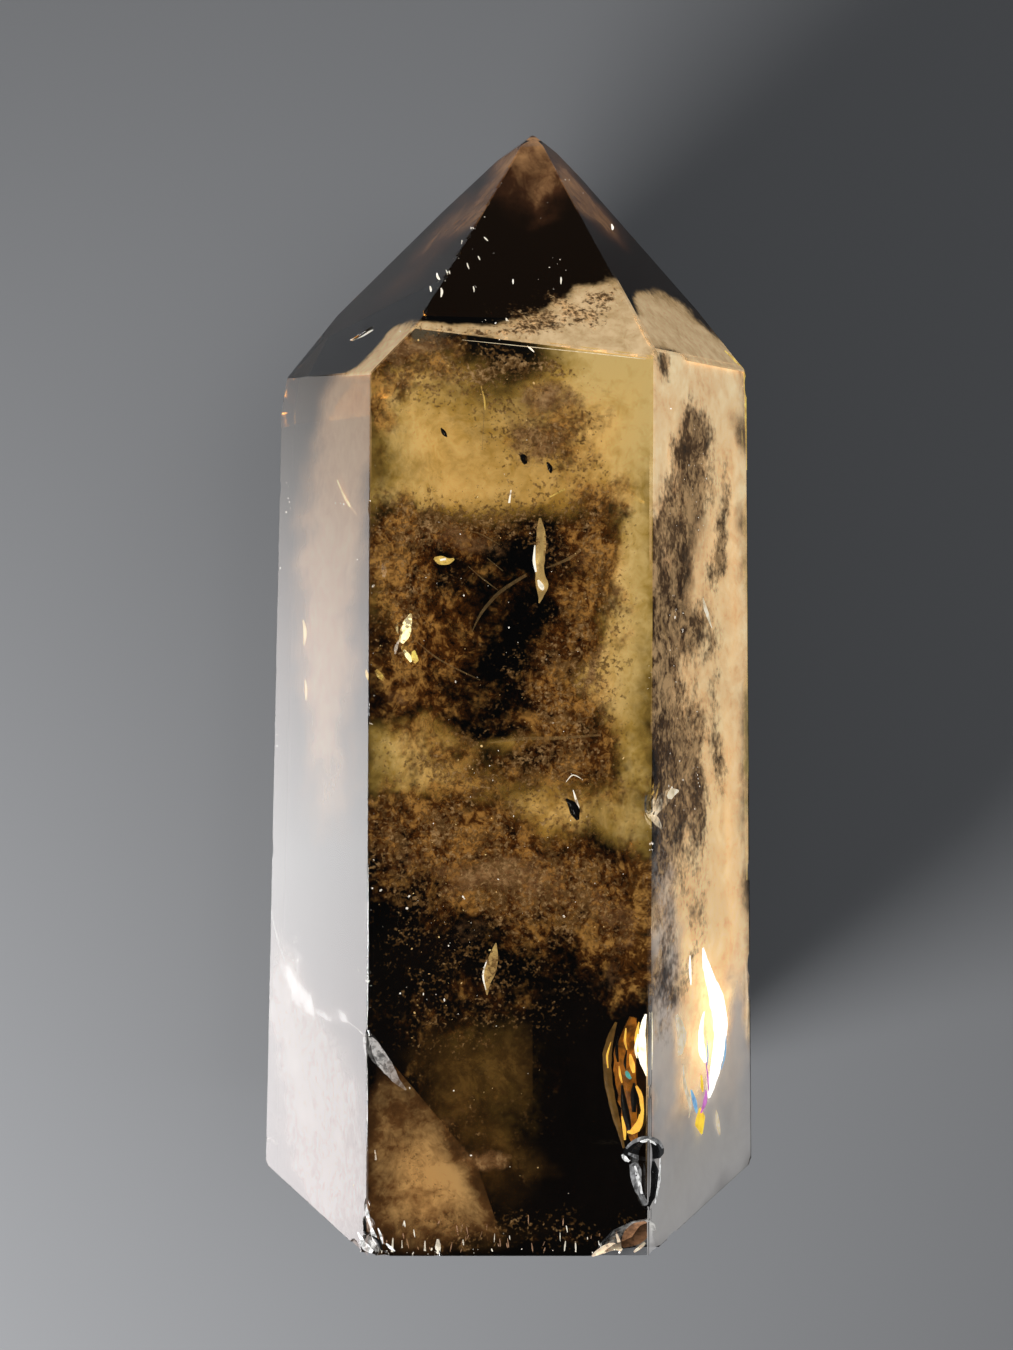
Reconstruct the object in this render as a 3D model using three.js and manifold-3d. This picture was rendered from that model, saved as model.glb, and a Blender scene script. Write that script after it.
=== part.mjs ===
// A polished six-sided smoky quartz point, lying on one of its six long faces.
//
// Frame: +Y runs along the crystal from the cut base to the tip, +Z is up, +X is to the right of
// someone who looks down on it with the tip pointing away. The origin is the bottom centre of the
// bounding box. Lengths are millimetres and angles are degrees.
//
// The crystal is one convex block bounded by flat ground faces. Small scoops are then taken out of
// its edges where it has been knocked.

import * as THREE from 'three';
import { ConvexGeometry } from 'three/addons/geometries/ConvexGeometry.js';
import { mergeVertices } from 'three/addons/utils/BufferGeometryUtils.js';
import Module from 'manifold-3d';

// ---- Driving dimensions ----

const SHARP_LENGTH = 70;      // cut base to the point where the end faces would meet if unworn
const WORN_LENGTH = 69.45;    // cut base to the blunted tip
const AXIS_HEIGHT = 14.35;    // crystal axis above the resting face

// The six long faces. Bearing turns round the axis from +X towards +Z, distance is from the axis at
// the cut base, and taper is how far the face closes in per millimetre towards the tip.
const LONG_FACES = {
  resting: { bearing: 270, distance: AXIS_HEIGHT, taper: 0 },
  lowerRight: { bearing: 330, distance: 14.57, taper: 0.005 },
  upperRight: { bearing: 30, distance: 14.08, taper: 0.005 },
  top: { bearing: 90, distance: 14.29, taper: 0.023 },
  upperLeft: { bearing: 150, distance: 14.23, taper: 0.0135 },
  lowerLeft: { bearing: 210, distance: 14.43, taper: 0.027 },
};

// The end faces. Slant is the angle between the face and the axis, and offset is how far outside
// the unworn apex the face passes. The two lower sides each have a second, steeper shoulder face.
const APEX = new THREE.Vector3(1.57, SHARP_LENGTH, 15.29);
const END_FACES = {
  restingEnd: { bearing: 270, slant: 39, offset: 0.4 },
  lowerRightEnd: { bearing: 328, slant: 39, offset: 0.73 },
  lowerRightShoulder: { bearing: 331, slant: 29.9, offset: 3.41 },
  upperRightEnd: { bearing: 35.1, slant: 34.9, offset: 0 },
  topEnd: { bearing: 85.1, slant: 34.95, offset: 0 },
  upperLeftEnd: { bearing: 142.6, slant: 38.1, offset: 0 },
  lowerLeftEnd: { bearing: 212, slant: 42.8, offset: 0.62 },
  lowerLeftShoulder: { bearing: 208, slant: 21, offset: 7.29 },
};

// Wear has blunted the tip into two rings of small faces round a tiny cap.
const WORN_TIP = new THREE.Vector3(1.6, 69.62, 14.85);
const WEAR_RINGS = [
  { count: 6, firstBearing: 28, slant: 49, offset: 0.05 },
  { count: 6, firstBearing: 0, slant: 66, offset: -0.04 },
];

// Scoops knocked out of an edge between two faces. Along is the distance from the cut base. Size is
// the scoop's half width across the edge, half length along it and half depth into the crystal, and
// proud is how far its middle stands outside the edge.
const EDGE_CHIPS = [
  // the tooth-shaped flake beside the cut base: a wide head and a narrower root
  { edge: ['top', 'upperRight'], along: 5.45, size: [1.5, 1.35, 1.15], proud: 0.2, detail: 3 },
  { edge: ['top', 'upperRight'], along: 4.2, size: [1.0, 1.6, 0.95], proud: 0.15, detail: 3 },
  // a shell-shaped nick halfway along the same edge, and smaller ones
  { edge: ['top', 'upperRight'], along: 25.8, size: [0.85, 1.15, 0.55], proud: 0.15, detail: 2 },
  { edge: ['top', 'upperRight'], along: 27.0, size: [0.5, 0.6, 0.4], proud: 0.12, detail: 1 },
  { edge: ['top', 'upperRight'], along: 9.4, size: [0.3, 0.5, 0.25], proud: 0.06, detail: 1 },
  { edge: ['top', 'upperRight'], along: 18.6, size: [0.25, 0.4, 0.2], proud: 0.05, detail: 1 },
  { edge: ['top', 'upperRight'], along: 43.5, size: [0.22, 0.35, 0.2], proud: 0.05, detail: 1 },
  // nicks down the left edge of the top face
  { edge: ['top', 'upperLeft'], along: 42.9, size: [0.35, 0.6, 0.3], proud: 0.06, detail: 1 },
  { edge: ['top', 'upperLeft'], along: 30.6, size: [0.22, 0.5, 0.2], proud: 0.05, detail: 1 },
  { edge: ['top', 'upperLeft'], along: 12.4, size: [0.4, 0.7, 0.3], proud: 0.08, detail: 1 },
  // the crushed corner where that edge meets the cut base
  { edge: ['top', 'upperLeft'], along: 2.9, size: [0.4, 0.5, 0.35], proud: 0.06, detail: 1 },
  { edge: ['top', 'upperLeft'], along: 1.8, size: [0.65, 0.6, 0.5], proud: 0.08, detail: 2 },
  { edge: ['top', 'upperLeft'], along: 0.5, size: [0.95, 0.8, 0.75], proud: 0.1, detail: 2 },
  // notches along the two side edges
  { edge: ['upperRight', 'lowerRight'], along: 20.0, size: [0.45, 0.8, 0.4], proud: 0.05, detail: 1 },
  { edge: ['upperRight', 'lowerRight'], along: 13.6, size: [0.7, 0.9, 0.55], proud: 0.1, detail: 2 },
  { edge: ['upperRight', 'lowerRight'], along: 11.9, size: [0.5, 0.8, 0.4], proud: 0.08, detail: 1 },
  { edge: ['upperRight', 'lowerRight'], along: 52.9, size: [0.6, 0.9, 0.45], proud: 0.1, detail: 2 },
  { edge: ['upperLeft', 'lowerLeft'], along: 45.8, size: [0.35, 0.55, 0.3], proud: 0.05, detail: 1 },
  { edge: ['upperLeft', 'lowerLeft'], along: 21.4, size: [0.3, 0.6, 0.25], proud: 0.05, detail: 1 },
  { edge: ['upperLeft', 'lowerLeft'], along: 52.8, size: [0.4, 0.5, 0.35], proud: 0.06, detail: 1 },
];

// Bruises on the ridge between the top and left end faces, as distances from the cut base.
const RIDGE_BRUISES = [54.6, 57.2, 58.9, 60.3, 61.1, 63.0, 64.6, 66.4];
const BRUISE_SIZE = [0.24, 0.34, 0.2];

// Flakes lost from the rim of the cut base, each a centre beside the rim and three half sizes.
const BASE_FLAKES = [
  { centre: [8.3, -0.6, 29.6], size: [4.0, 3.2, 2.35], detail: 3 },
  { centre: [10.2, -0.5, 26.6], size: [1.2, 1.05, 1.9], detail: 2 },
  { centre: [-4.1, -0.1, 28.8], size: [0.28, 0.75, 0.35], detail: 1 },
  { centre: [-7.2, -0.1, 28.8], size: [0.5, 0.6, 0.45], detail: 1 },
  { centre: [-9.1, -0.2, 27.4], size: [0.8, 0.7, 0.9], detail: 2 },
  { centre: [-16.3, -0.1, 13.9], size: [0.7, 0.6, 0.7], detail: 1 },
  { centre: [16.4, -0.1, 13.6], size: [0.6, 0.6, 0.8], detail: 1 },
  { centre: [6.9, -0.1, 0.1], size: [1.2, 0.6, 0.5], detail: 1 },
  { centre: [-11.8, -0.1, 7.2], size: [0.5, 0.5, 0.9], detail: 1 },
];

// A sliver lost from the left end face, between two points of that face.
const END_SLIVER = {
  face: 'upperLeftEnd', from: [-10.05, 54.4, 20.2], to: [-8.35, 55.0, 21.7], width: 0.55, depth: 0.22,
};

const SMALLEST_GAP = 1e-4;    // corners closer than this are one corner

// ---- The ground faces as planes: outward normal, and distance along it from the origin ----

function faceDirection(bearing, slant) {
  const round = THREE.MathUtils.degToRad(bearing);
  const tilt = THREE.MathUtils.degToRad(slant);
  return new THREE.Vector3(
    Math.cos(round) * Math.cos(tilt),
    Math.sin(tilt),
    Math.sin(round) * Math.cos(tilt),
  );
}

function longFacePlane({ bearing, distance, taper }) {
  const slant = THREE.MathUtils.radToDeg(Math.atan(taper));
  const normal = faceDirection(bearing, slant);
  const outward = faceDirection(bearing, 0);
  const onFace = outward.multiplyScalar(distance).add(new THREE.Vector3(0, 0, AXIS_HEIGHT));
  return { normal, reach: normal.dot(onFace) };
}

function endFacePlane({ bearing, slant, offset }, through) {
  const normal = faceDirection(bearing, slant);
  return { normal, reach: normal.dot(through) + offset };
}

function wearPlanes() {
  const planes = [{ normal: new THREE.Vector3(0, 1, 0), reach: WORN_LENGTH }];
  for (const ring of WEAR_RINGS) {
    for (let i = 0; i < ring.count; i += 1) {
      const bearing = ring.firstBearing + (360 / ring.count) * i;
      planes.push(endFacePlane({ bearing, slant: ring.slant, offset: ring.offset }, WORN_TIP));
    }
  }
  return planes;
}

const namedPlanes = { cutBase: { normal: new THREE.Vector3(0, -1, 0), reach: 0 } };
for (const [name, face] of Object.entries(LONG_FACES)) {
  namedPlanes[name] = longFacePlane(face);
}
for (const [name, face] of Object.entries(END_FACES)) {
  namedPlanes[name] = endFacePlane(face, APEX);
}

// ---- The block that the faces enclose ----

function meetingPoint(a, b, c) {
  const rows = new THREE.Matrix3().set(
    a.normal.x, a.normal.y, a.normal.z,
    b.normal.x, b.normal.y, b.normal.z,
    c.normal.x, c.normal.y, c.normal.z,
  );
  if (Math.abs(rows.determinant()) < 1e-6) return null;
  return new THREE.Vector3(a.reach, b.reach, c.reach).applyMatrix3(rows.invert());
}

function blockCorners(planes) {
  const corners = [];
  const inside = (point) => planes.every((p) => p.normal.dot(point) < p.reach + SMALLEST_GAP);
  const known = (point) => corners.some((corner) => corner.distanceTo(point) < SMALLEST_GAP);
  for (let i = 0; i < planes.length; i += 1) {
    for (let j = i + 1; j < planes.length; j += 1) {
      for (let k = j + 1; k < planes.length; k += 1) {
        const point = meetingPoint(planes[i], planes[j], planes[k]);
        if (point && inside(point) && !known(point)) corners.push(point);
      }
    }
  }
  return corners;
}

const groundBlock = new ConvexGeometry(
  blockCorners([...Object.values(namedPlanes), ...wearPlanes()]),
);

// ---- Scoops ----

const wasm = await Module();
wasm.setup();

function toSolid(geometry) {
  const bare = geometry.clone();
  bare.deleteAttribute('normal');
  bare.deleteAttribute('uv');
  const merged = mergeVertices(bare, SMALLEST_GAP);
  return new wasm.Manifold(new wasm.Mesh({
    numProp: 3,
    vertProperties: new Float32Array(merged.attributes.position.array),
    triVerts: new Uint32Array(merged.index.array),
  }));
}

function toGeometry(solid) {
  const mesh = solid.getMesh();
  const geometry = new THREE.BufferGeometry();
  geometry.setAttribute('position', new THREE.BufferAttribute(mesh.vertProperties, 3));
  geometry.setIndex(new THREE.BufferAttribute(mesh.triVerts, 1));
  return geometry;
}

// An egg-shaped scoop with its half sizes along the given directions.
function scoop(centre, size, directions, detail) {
  const egg = new THREE.IcosahedronGeometry(1, detail);
  egg.scale(size[0], size[1], size[2]);
  egg.applyMatrix4(new THREE.Matrix4().makeBasis(...directions));
  egg.translate(centre.x, centre.y, centre.z);
  return toSolid(egg);
}

// The place on the edge between two faces at a distance from the cut base, and the directions
// across, along and out of that edge there.
function edgeFrame([first, second], along) {
  const a = namedPlanes[first];
  const b = namedPlanes[second];
  const level = { normal: new THREE.Vector3(0, 1, 0), reach: along };
  const point = meetingPoint(a, b, level);
  const outward = a.normal.clone().add(b.normal).normalize();
  const run = new THREE.Vector3().crossVectors(a.normal, b.normal).normalize();
  if (run.y < 0) run.negate();
  const across = new THREE.Vector3().crossVectors(run, outward);
  return { point, directions: [across, run, outward] };
}

function edgeScoop({ edge, along, size, proud, detail }) {
  const { point, directions } = edgeFrame(edge, along);
  const centre = point.addScaledVector(directions[2], proud);
  return scoop(centre, size, directions, detail);
}

function looseScoop({ centre, size, detail }) {
  const directions = [[1, 0, 0], [0, 1, 0], [0, 0, 1]].map((unit) => new THREE.Vector3(...unit));
  return scoop(new THREE.Vector3(...centre), size, directions, detail);
}

// A long shallow scoop that lies in one face.
function sliverScoop({ face, from, to, width, depth }) {
  const { normal, reach } = namedPlanes[face];
  const start = new THREE.Vector3(...from);
  const end = new THREE.Vector3(...to);
  const middle = start.clone().lerp(end, 0.5);
  middle.addScaledVector(normal, reach - normal.dot(middle));
  const run = end.clone().sub(start).projectOnPlane(normal).normalize();
  const across = new THREE.Vector3().crossVectors(run, normal);
  const size = [width / 2, start.distanceTo(end) / 2, depth];
  return scoop(middle, size, [across, run, normal], 2);
}

const bruises = RIDGE_BRUISES.map((along) => edgeScoop({
  edge: ['topEnd', 'upperLeftEnd'], along, size: BRUISE_SIZE, proud: 0.04, detail: 1,
}));
const scoops = [
  ...EDGE_CHIPS.map(edgeScoop),
  ...BASE_FLAKES.map(looseScoop),
  sliverScoop(END_SLIVER),
  ...bruises,
];

// ---- The crystal ----

function placeOnOrigin(geometry) {
  geometry.computeBoundingBox();
  const { min, max } = geometry.boundingBox;
  geometry.translate(-(min.x + max.x) / 2, -(min.y + max.y) / 2, -min.z);
  return geometry;
}

function smokyQuartz() {
  const chipped = scoops.reduce((solid, taken) => solid.subtract(taken), toSolid(groundBlock));
  const geometry = placeOnOrigin(toGeometry(chipped));
  geometry.computeVertexNormals();
  const material = new THREE.MeshStandardMaterial({
    color: 0x7a5a2c, roughness: 0.06, metalness: 0, flatShading: true, transparent: true,
    opacity: 0.6,
  });
  const mesh = new THREE.Mesh(geometry, material);
  mesh.name = 'smoky_quartz';
  return mesh;
}

const part = new THREE.Group();
part.name = 'smoky_quartz_point';
part.add(smokyQuartz());

export default part;
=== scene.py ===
# Looks of a polished smoky quartz point that lies on one of its long faces.
#
# Metres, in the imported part's frame: +Y towards the tip, +Z up, origin under the middle of the
# crystal. Sizes below are in millimetres and are multiplied by MM where they are used.

import math
import random

import bpy
from mathutils import Matrix, Vector, noise


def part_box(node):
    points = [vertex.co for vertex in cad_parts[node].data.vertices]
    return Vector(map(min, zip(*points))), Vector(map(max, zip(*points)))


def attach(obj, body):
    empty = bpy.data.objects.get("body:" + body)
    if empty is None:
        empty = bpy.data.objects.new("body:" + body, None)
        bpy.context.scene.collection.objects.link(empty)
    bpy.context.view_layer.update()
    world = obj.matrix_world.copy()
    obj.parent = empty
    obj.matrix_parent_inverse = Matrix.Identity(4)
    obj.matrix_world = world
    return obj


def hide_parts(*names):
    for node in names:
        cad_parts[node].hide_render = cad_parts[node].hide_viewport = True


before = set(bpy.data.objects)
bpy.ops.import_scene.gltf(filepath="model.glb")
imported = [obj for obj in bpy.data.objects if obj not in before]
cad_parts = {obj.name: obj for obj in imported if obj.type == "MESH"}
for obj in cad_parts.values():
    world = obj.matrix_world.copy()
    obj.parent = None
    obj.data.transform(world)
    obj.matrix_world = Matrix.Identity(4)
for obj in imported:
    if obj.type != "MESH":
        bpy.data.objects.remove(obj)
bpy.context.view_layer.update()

# ---- Named sizes ----

MM = 0.001
QUARTZ_IOR = 1.544
AXIS_HEIGHT = 14.35               # crystal axis above the resting face
SHOULDER = 52.0                   # cut base to the middle of the shoulders
SMALLEST_GROUND_FACE = 1.0e-6     # square metres; the facets of the chips are smaller
EDGE_ROUNDING = 0.13              # width of the ground-off edges
CHIP_DEPTH = 0.16                 # a chip's surface lies at least this far inside the ground faces
LEAST_DEPTH = 0.08                # sheets stay this far below the crystal's surface
FACE_REACH = 12.0                 # half of what a sheet spans before it is trimmed to its face
SAME_SIDE = 0.93                  # faces whose normals agree this well border on the same side
CUT_LIMIT = 1e-7                  # metres; a cut merges nothing wider than this
CAMERA_AT = (-0.165, -1.495, 105.38)
LENS = 35.8

BASE_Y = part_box("smoky_quartz")[0].y
camera_place = Vector(CAMERA_AT) * MM


# ---- Small helpers ----

def only(thing):
    """Makes one object the selected and active one."""
    deselect_all()
    thing.select_set(True)
    bpy.context.view_layer.objects.active = thing


def deselect_all():
    for thing in bpy.context.selected_objects:
        thing.select_set(False)


def cut_away(thing, planes, fill=False):
    """Cuts off what of a mesh lies outside planes, each given as its normal and distance."""
    only(thing)
    bpy.ops.object.mode_set(mode="EDIT")
    for normal, distance in planes:
        bpy.ops.mesh.select_all(action="SELECT")
        bpy.ops.mesh.bisect(
            plane_co=normal * distance, plane_no=normal, use_fill=fill, clear_outer=True,
            threshold=CUT_LIMIT,
        )
    bpy.ops.object.mode_set(mode="OBJECT")


def merge_close(thing, limit):
    only(thing)
    bpy.ops.object.mode_set(mode="EDIT")
    bpy.ops.mesh.select_all(action="SELECT")
    bpy.ops.mesh.remove_doubles(threshold=limit * MM)
    bpy.ops.object.mode_set(mode="OBJECT")


def add_grid(columns, rows):
    """A flat grid, one unit wide and long."""
    bpy.ops.mesh.primitive_grid_add(x_subdivisions=columns, y_subdivisions=rows, size=1.0)
    return bpy.context.object


def set_inputs(node, values):
    for label, value in values.items():
        node.inputs[label].default_value = value


def new_material(name):
    """A material, its nodes, its links and its shader."""
    material = bpy.data.materials.new(name)
    material.use_nodes = True
    tree = material.node_tree
    return material, tree.nodes, tree.links, tree.nodes["Principled BSDF"]


def settle(piece, material):
    """Gives a finished piece its material, slot and body."""
    piece.data.materials.clear()
    piece.data.materials.append(material)
    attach(piece, "root")
    deselect_all()
    return piece


deselect_all()


# ---- The crystal's faces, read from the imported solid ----

SAME_NORMAL = 0.99995
SAME_DISTANCE = 0.02


def flat_faces(mesh):
    """The flat faces of a solid as [normal, distance, area], without the facets of its chips."""
    faces = []
    for polygon in mesh.polygons:
        normal = polygon.normal.copy()
        distance = normal.dot(polygon.center)
        for face in faces:
            if face[0].dot(normal) > SAME_NORMAL and abs(face[1] - distance) < SAME_DISTANCE * MM:
                face[2] += polygon.area
                break
        else:
            faces.append([normal, distance, polygon.area])
    return [face for face in faces if face[2] > SMALLEST_GROUND_FACE]


ground_faces = flat_faces(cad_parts["smoky_quartz"].data)


class Face:
    """A ground face with a ruler on it: across and run are its own directions, in the face.
    It is found by its bearing around the axis and its slant towards the tip, in degrees."""

    def __init__(self, bearing, slant=0.0, level=0.0):
        turn, tilt = math.radians(bearing), math.radians(slant)
        aim = Vector((math.cos(turn) * math.cos(tilt), math.sin(tilt), math.sin(turn) * math.cos(tilt)))
        self.normal, self.distance, _ = max(ground_faces, key=lambda face: face[0].dot(aim))
        on_axis = Vector((0.0, BASE_Y + level * MM, AXIS_HEIGHT * MM))
        self.origin = on_axis + self.normal * (self.distance - self.normal.dot(on_axis))
        self.across = Vector((0.0, 1.0, 0.0)).cross(self.normal).normalized()
        self.run = self.normal.cross(self.across)

    def point(self, across, run):
        """The place on the face, given in millimetres from its origin."""
        return self.origin + self.across * (across * MM) + self.run * (run * MM)

    def ruler(self, place):
        """Across and run of a place, in millimetres."""
        from_origin = place - self.origin
        return from_origin.dot(self.across) / MM, from_origin.dot(self.run) / MM

    def seen_from_above(self, x, along):
        """Across and run of the place on the face above x and along."""
        aside = Vector((x * MM, BASE_Y + along * MM, 0.0))
        height = (self.distance - self.normal.dot(aside)) / self.normal.z
        return self.ruler(aside + Vector((0.0, 0.0, height)))

    def below(self, across, run, depth):
        """Where a ray from the camera through that place on the face gets to at this depth."""
        start = self.point(across, run)
        ray = (start - camera_place).normalized()
        cosine = -ray.dot(self.normal)
        ratio = 1.0 / QUARTZ_IOR
        inner = math.sqrt(1.0 - ratio * ratio * (1.0 - cosine * cosine))
        bent = ray * ratio + self.normal * (ratio * cosine - inner)
        return start + bent * (depth * MM / inner)


top = Face(90)
right = Face(30)
left = Face(150)
top_end = Face(85.1, 35, SHOULDER)
right_end = Face(35.1, 35, SHOULDER)
left_end = Face(142.6, 38, SHOULDER)
worn_tip = Face(90, 49, SHOULDER)


# ---- Camera, floor and light ----

def add_camera():
    camera = bpy.data.objects.new("camera", bpy.data.cameras.new("camera"))
    bpy.context.scene.collection.objects.link(camera)
    camera.location = camera_place
    camera.data.sensor_width = 36.0
    camera.data.lens = LENS
    camera.data.clip_start = 5 * MM
    bpy.context.scene.camera = camera


FLOOR_SIZE = 3.0
FLOOR_DROP = 0.004                # the floor stays just clear of the resting face
FLOOR_COLOUR = (0.42, 0.43, 0.45, 1.0)


def add_floor():
    bpy.ops.mesh.primitive_plane_add(size=FLOOR_SIZE, location=(0.0, 0.0, -FLOOR_DROP * MM))
    floor = bpy.context.object
    floor.name = "floor"
    material, _, _, shader = new_material("pale_floor")
    set_inputs(shader, {"Base Color": FLOOR_COLOUR, "Roughness": 0.7, "Specular IOR Level": 0.0})
    floor.data.materials.append(material)


# One softbox per row, in metres and watts.
SOFTBOXES = (
    {"name": "key_softbox", "place": (-0.175, -0.15, 0.085), "aim": (-0.055, -0.05, 0.0),
     "size": (0.12, 0.09), "power": 0.19, "colour": (1.0, 0.99, 0.98), "beam": 90, "in_crystal": True},
    {"name": "fill_softbox", "place": (0.50, 0.10, 0.70), "aim": (0.0, 0.0, 0.0),
     "size": (0.60, 0.60), "power": 0.95, "colour": (0.96, 0.98, 1.0), "beam": 180, "in_crystal": False},
)


def add_softbox(name, place, aim, size, power, colour, beam, in_crystal):
    lamp = bpy.data.lights.new(name, "AREA")
    lamp.shape = "RECTANGLE"
    lamp.size, lamp.size_y = size
    lamp.energy = power
    lamp.color = colour
    lamp.spread = math.radians(beam)
    softbox = bpy.data.objects.new(name, lamp)
    bpy.context.scene.collection.objects.link(softbox)
    softbox.location = place
    softbox.rotation_euler = (Vector(aim) - Vector(place)).to_track_quat("-Z", "Y").to_euler()
    softbox.visible_camera = False
    softbox.visible_glossy = in_crystal
    softbox.visible_transmission = in_crystal


CARD_NEAR, CARD_FAR = -0.028, -0.064        # metres to the left of the axis
CARD_LENGTH = 0.10
CARD_MIDDLE = -0.015
CARD_LIFT = 0.0006
CARD_GLOW = 5.2
CARD_FADE = (-0.045, 0.035)                 # metres along the crystal, from its bright to its dark end
CARD_TONES = (
    (0.0, (0.75, 0.71, 0.715, 1.0)),
    (0.35, (0.77, 0.755, 0.755, 1.0)),
    (0.58, (0.56, 0.535, 0.53, 1.0)),
    (0.76, (0.29, 0.28, 0.275, 1.0)),
    (0.90, (0.14, 0.135, 0.13, 1.0)),
    (1.0, (0.0, 0.0, 0.0, 1.0)),
)


def add_reflector_card():
    """A glowing card flat on the floor at the left: the upper left face mirrors it."""
    card = add_grid(8, 24)
    card.name = "reflector_card"
    card.scale = (CARD_NEAR - CARD_FAR, CARD_LENGTH, 1.0)
    card.location = ((CARD_NEAR + CARD_FAR) / 2, CARD_MIDDLE, CARD_LIFT)
    bpy.ops.object.transform_apply(location=True, scale=True)
    material, nodes, links, shader = new_material("card_glow")
    nodes.remove(shader)
    coordinates = nodes.new("ShaderNodeTexCoord")
    split = nodes.new("ShaderNodeSeparateXYZ")
    span = nodes.new("ShaderNodeMapRange")
    set_inputs(span, {"From Min": CARD_FADE[0], "From Max": CARD_FADE[1]})
    fade = nodes.new("ShaderNodeValToRGB")
    tones = fade.color_ramp.elements
    tones[0].color = CARD_TONES[0][1]
    tones[1].color = CARD_TONES[-1][1]
    for position, colour in CARD_TONES[1:-1]:
        tones.new(position).color = colour
    glow = nodes.new("ShaderNodeEmission")
    glow.inputs["Strength"].default_value = CARD_GLOW
    links.new(coordinates.outputs["Object"], split.inputs[0])
    links.new(split.outputs["Y"], span.inputs["Value"])
    links.new(span.outputs["Result"], fade.inputs["Fac"])
    links.new(fade.outputs["Color"], glow.inputs["Color"])
    links.new(glow.outputs[0], nodes["Material Output"].inputs["Surface"])
    material.cycles.emission_sampling = "NONE"
    card.data.materials.append(material)
    card.visible_camera = False
    card.visible_diffuse = False
    card.visible_transmission = False
    card.visible_shadow = False


def set_world():
    world = bpy.data.worlds.new("dim_room")
    bpy.context.scene.world = world
    world.use_nodes = True
    background = world.node_tree.nodes["Background"]
    set_inputs(background, {"Color": (0.92, 0.95, 1.0, 1.0), "Strength": 0.04})


def set_light_paths():
    bpy.context.scene.view_settings.view_transform = "Standard"
    paths = bpy.context.scene.cycles
    paths.max_bounces = 12
    paths.transmission_bounces = 10
    paths.glossy_bounces = 9
    paths.diffuse_bounces = 2
    paths.transparent_max_bounces = 24
    paths.caustics_reflective = False
    paths.caustics_refractive = False
    paths.sample_clamp_indirect = 12.0


# ---- Shader groups ----

MIX_FACTOR, MIX_FIRST, MIX_SECOND, MIX_RESULT = 0, 6, 7, 2      # a colour mix node's sockets
PAINTED_FROM, PAINTED_FULL = 0.04, 0.22     # densities at which a cloud starts and is whole
MASK_SIZES = ("Patch Scale", "Patch Tear", "Grain Scale", "Grain Tear", "Softness")
MOTTLE_SIZES = ("Patch Scale", "Patch Contrast", "Grain Scale", "Grain Contrast")
MOTTLE_COLOURS = ("Dark", "Middle", "Light")


def new_group(name, numbers, colours, output, output_kind):
    """A shader group that takes a vector, numbers and colours and gives one output."""
    group = bpy.data.node_groups.new(name, "ShaderNodeTree")
    sockets = [("Vector", "NodeSocketVector")]
    sockets += [(label, "NodeSocketFloat") for label in numbers]
    sockets += [(label, "NodeSocketColor") for label in colours]
    for label, kind in sockets:
        group.interface.new_socket(label, in_out="INPUT", socket_type=kind)
    group.interface.new_socket(output, in_out="OUTPUT", socket_type=output_kind)
    return group, group.nodes.new("NodeGroupInput"), group.nodes.new("NodeGroupOutput")


def math_node(group, operation, first, second):
    node = group.nodes.new("ShaderNodeMath")
    node.operation = operation
    for slot, value in enumerate((first, second)):
        if isinstance(value, (int, float)):
            node.inputs[slot].default_value = value
        else:
            group.links.new(value, node.inputs[slot])
    return node.outputs[0]


def add_noise(group, given, total, kind, strength, settings):
    """Adds a noise, centred on zero, to a running total. The group's inputs give its scale and
    its strength."""
    texture = group.nodes.new("ShaderNodeTexNoise")
    set_inputs(texture, settings)
    group.links.new(given.outputs["Vector"], texture.inputs["Vector"])
    group.links.new(given.outputs[kind + " Scale"], texture.inputs["Scale"])
    centred = math_node(group, "SUBTRACT", texture.outputs["Fac"], 0.5)
    part = math_node(group, "MULTIPLY", centred, given.outputs[kind + strength])
    return math_node(group, "ADD", total, part)


def mix_colours(group, factor, first, second):
    mix = group.nodes.new("ShaderNodeMix")
    mix.data_type = "RGBA"
    mix.clamp_factor = True
    for slot, source in ((MIX_FACTOR, factor), (MIX_FIRST, first), (MIX_SECOND, second)):
        group.links.new(source, mix.inputs[slot])
    return mix.outputs[MIX_RESULT]


def make_cloud_mask():
    """Turns a painted density into a cloud with a torn, grainy border."""
    group, given, result = new_group("cloud_mask", ("Density",) + MASK_SIZES, (), "Mask", "NodeSocketFloat")
    density, softness = given.outputs["Density"], given.outputs["Softness"]
    torn = density
    for kind, detail in (("Patch", 4.0), ("Grain", 1.0)):
        torn = add_noise(group, given, torn, kind, " Tear", {"Detail": detail, "Roughness": 0.62})
    span = group.nodes.new("ShaderNodeMapRange")
    span.interpolation_type = "SMOOTHSTEP"
    group.links.new(torn, span.inputs["Value"])
    group.links.new(math_node(group, "SUBTRACT", 0.5, softness), span.inputs["From Min"])
    group.links.new(math_node(group, "ADD", 0.5, softness), span.inputs["From Max"])
    painted = group.nodes.new("ShaderNodeMapRange")
    set_inputs(painted, {"From Min": PAINTED_FROM, "From Max": PAINTED_FULL})
    group.links.new(density, painted.inputs["Value"])
    kept = math_node(group, "MULTIPLY", span.outputs["Result"], painted.outputs["Result"])
    group.links.new(kept, result.inputs["Mask"])
    return group


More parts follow.
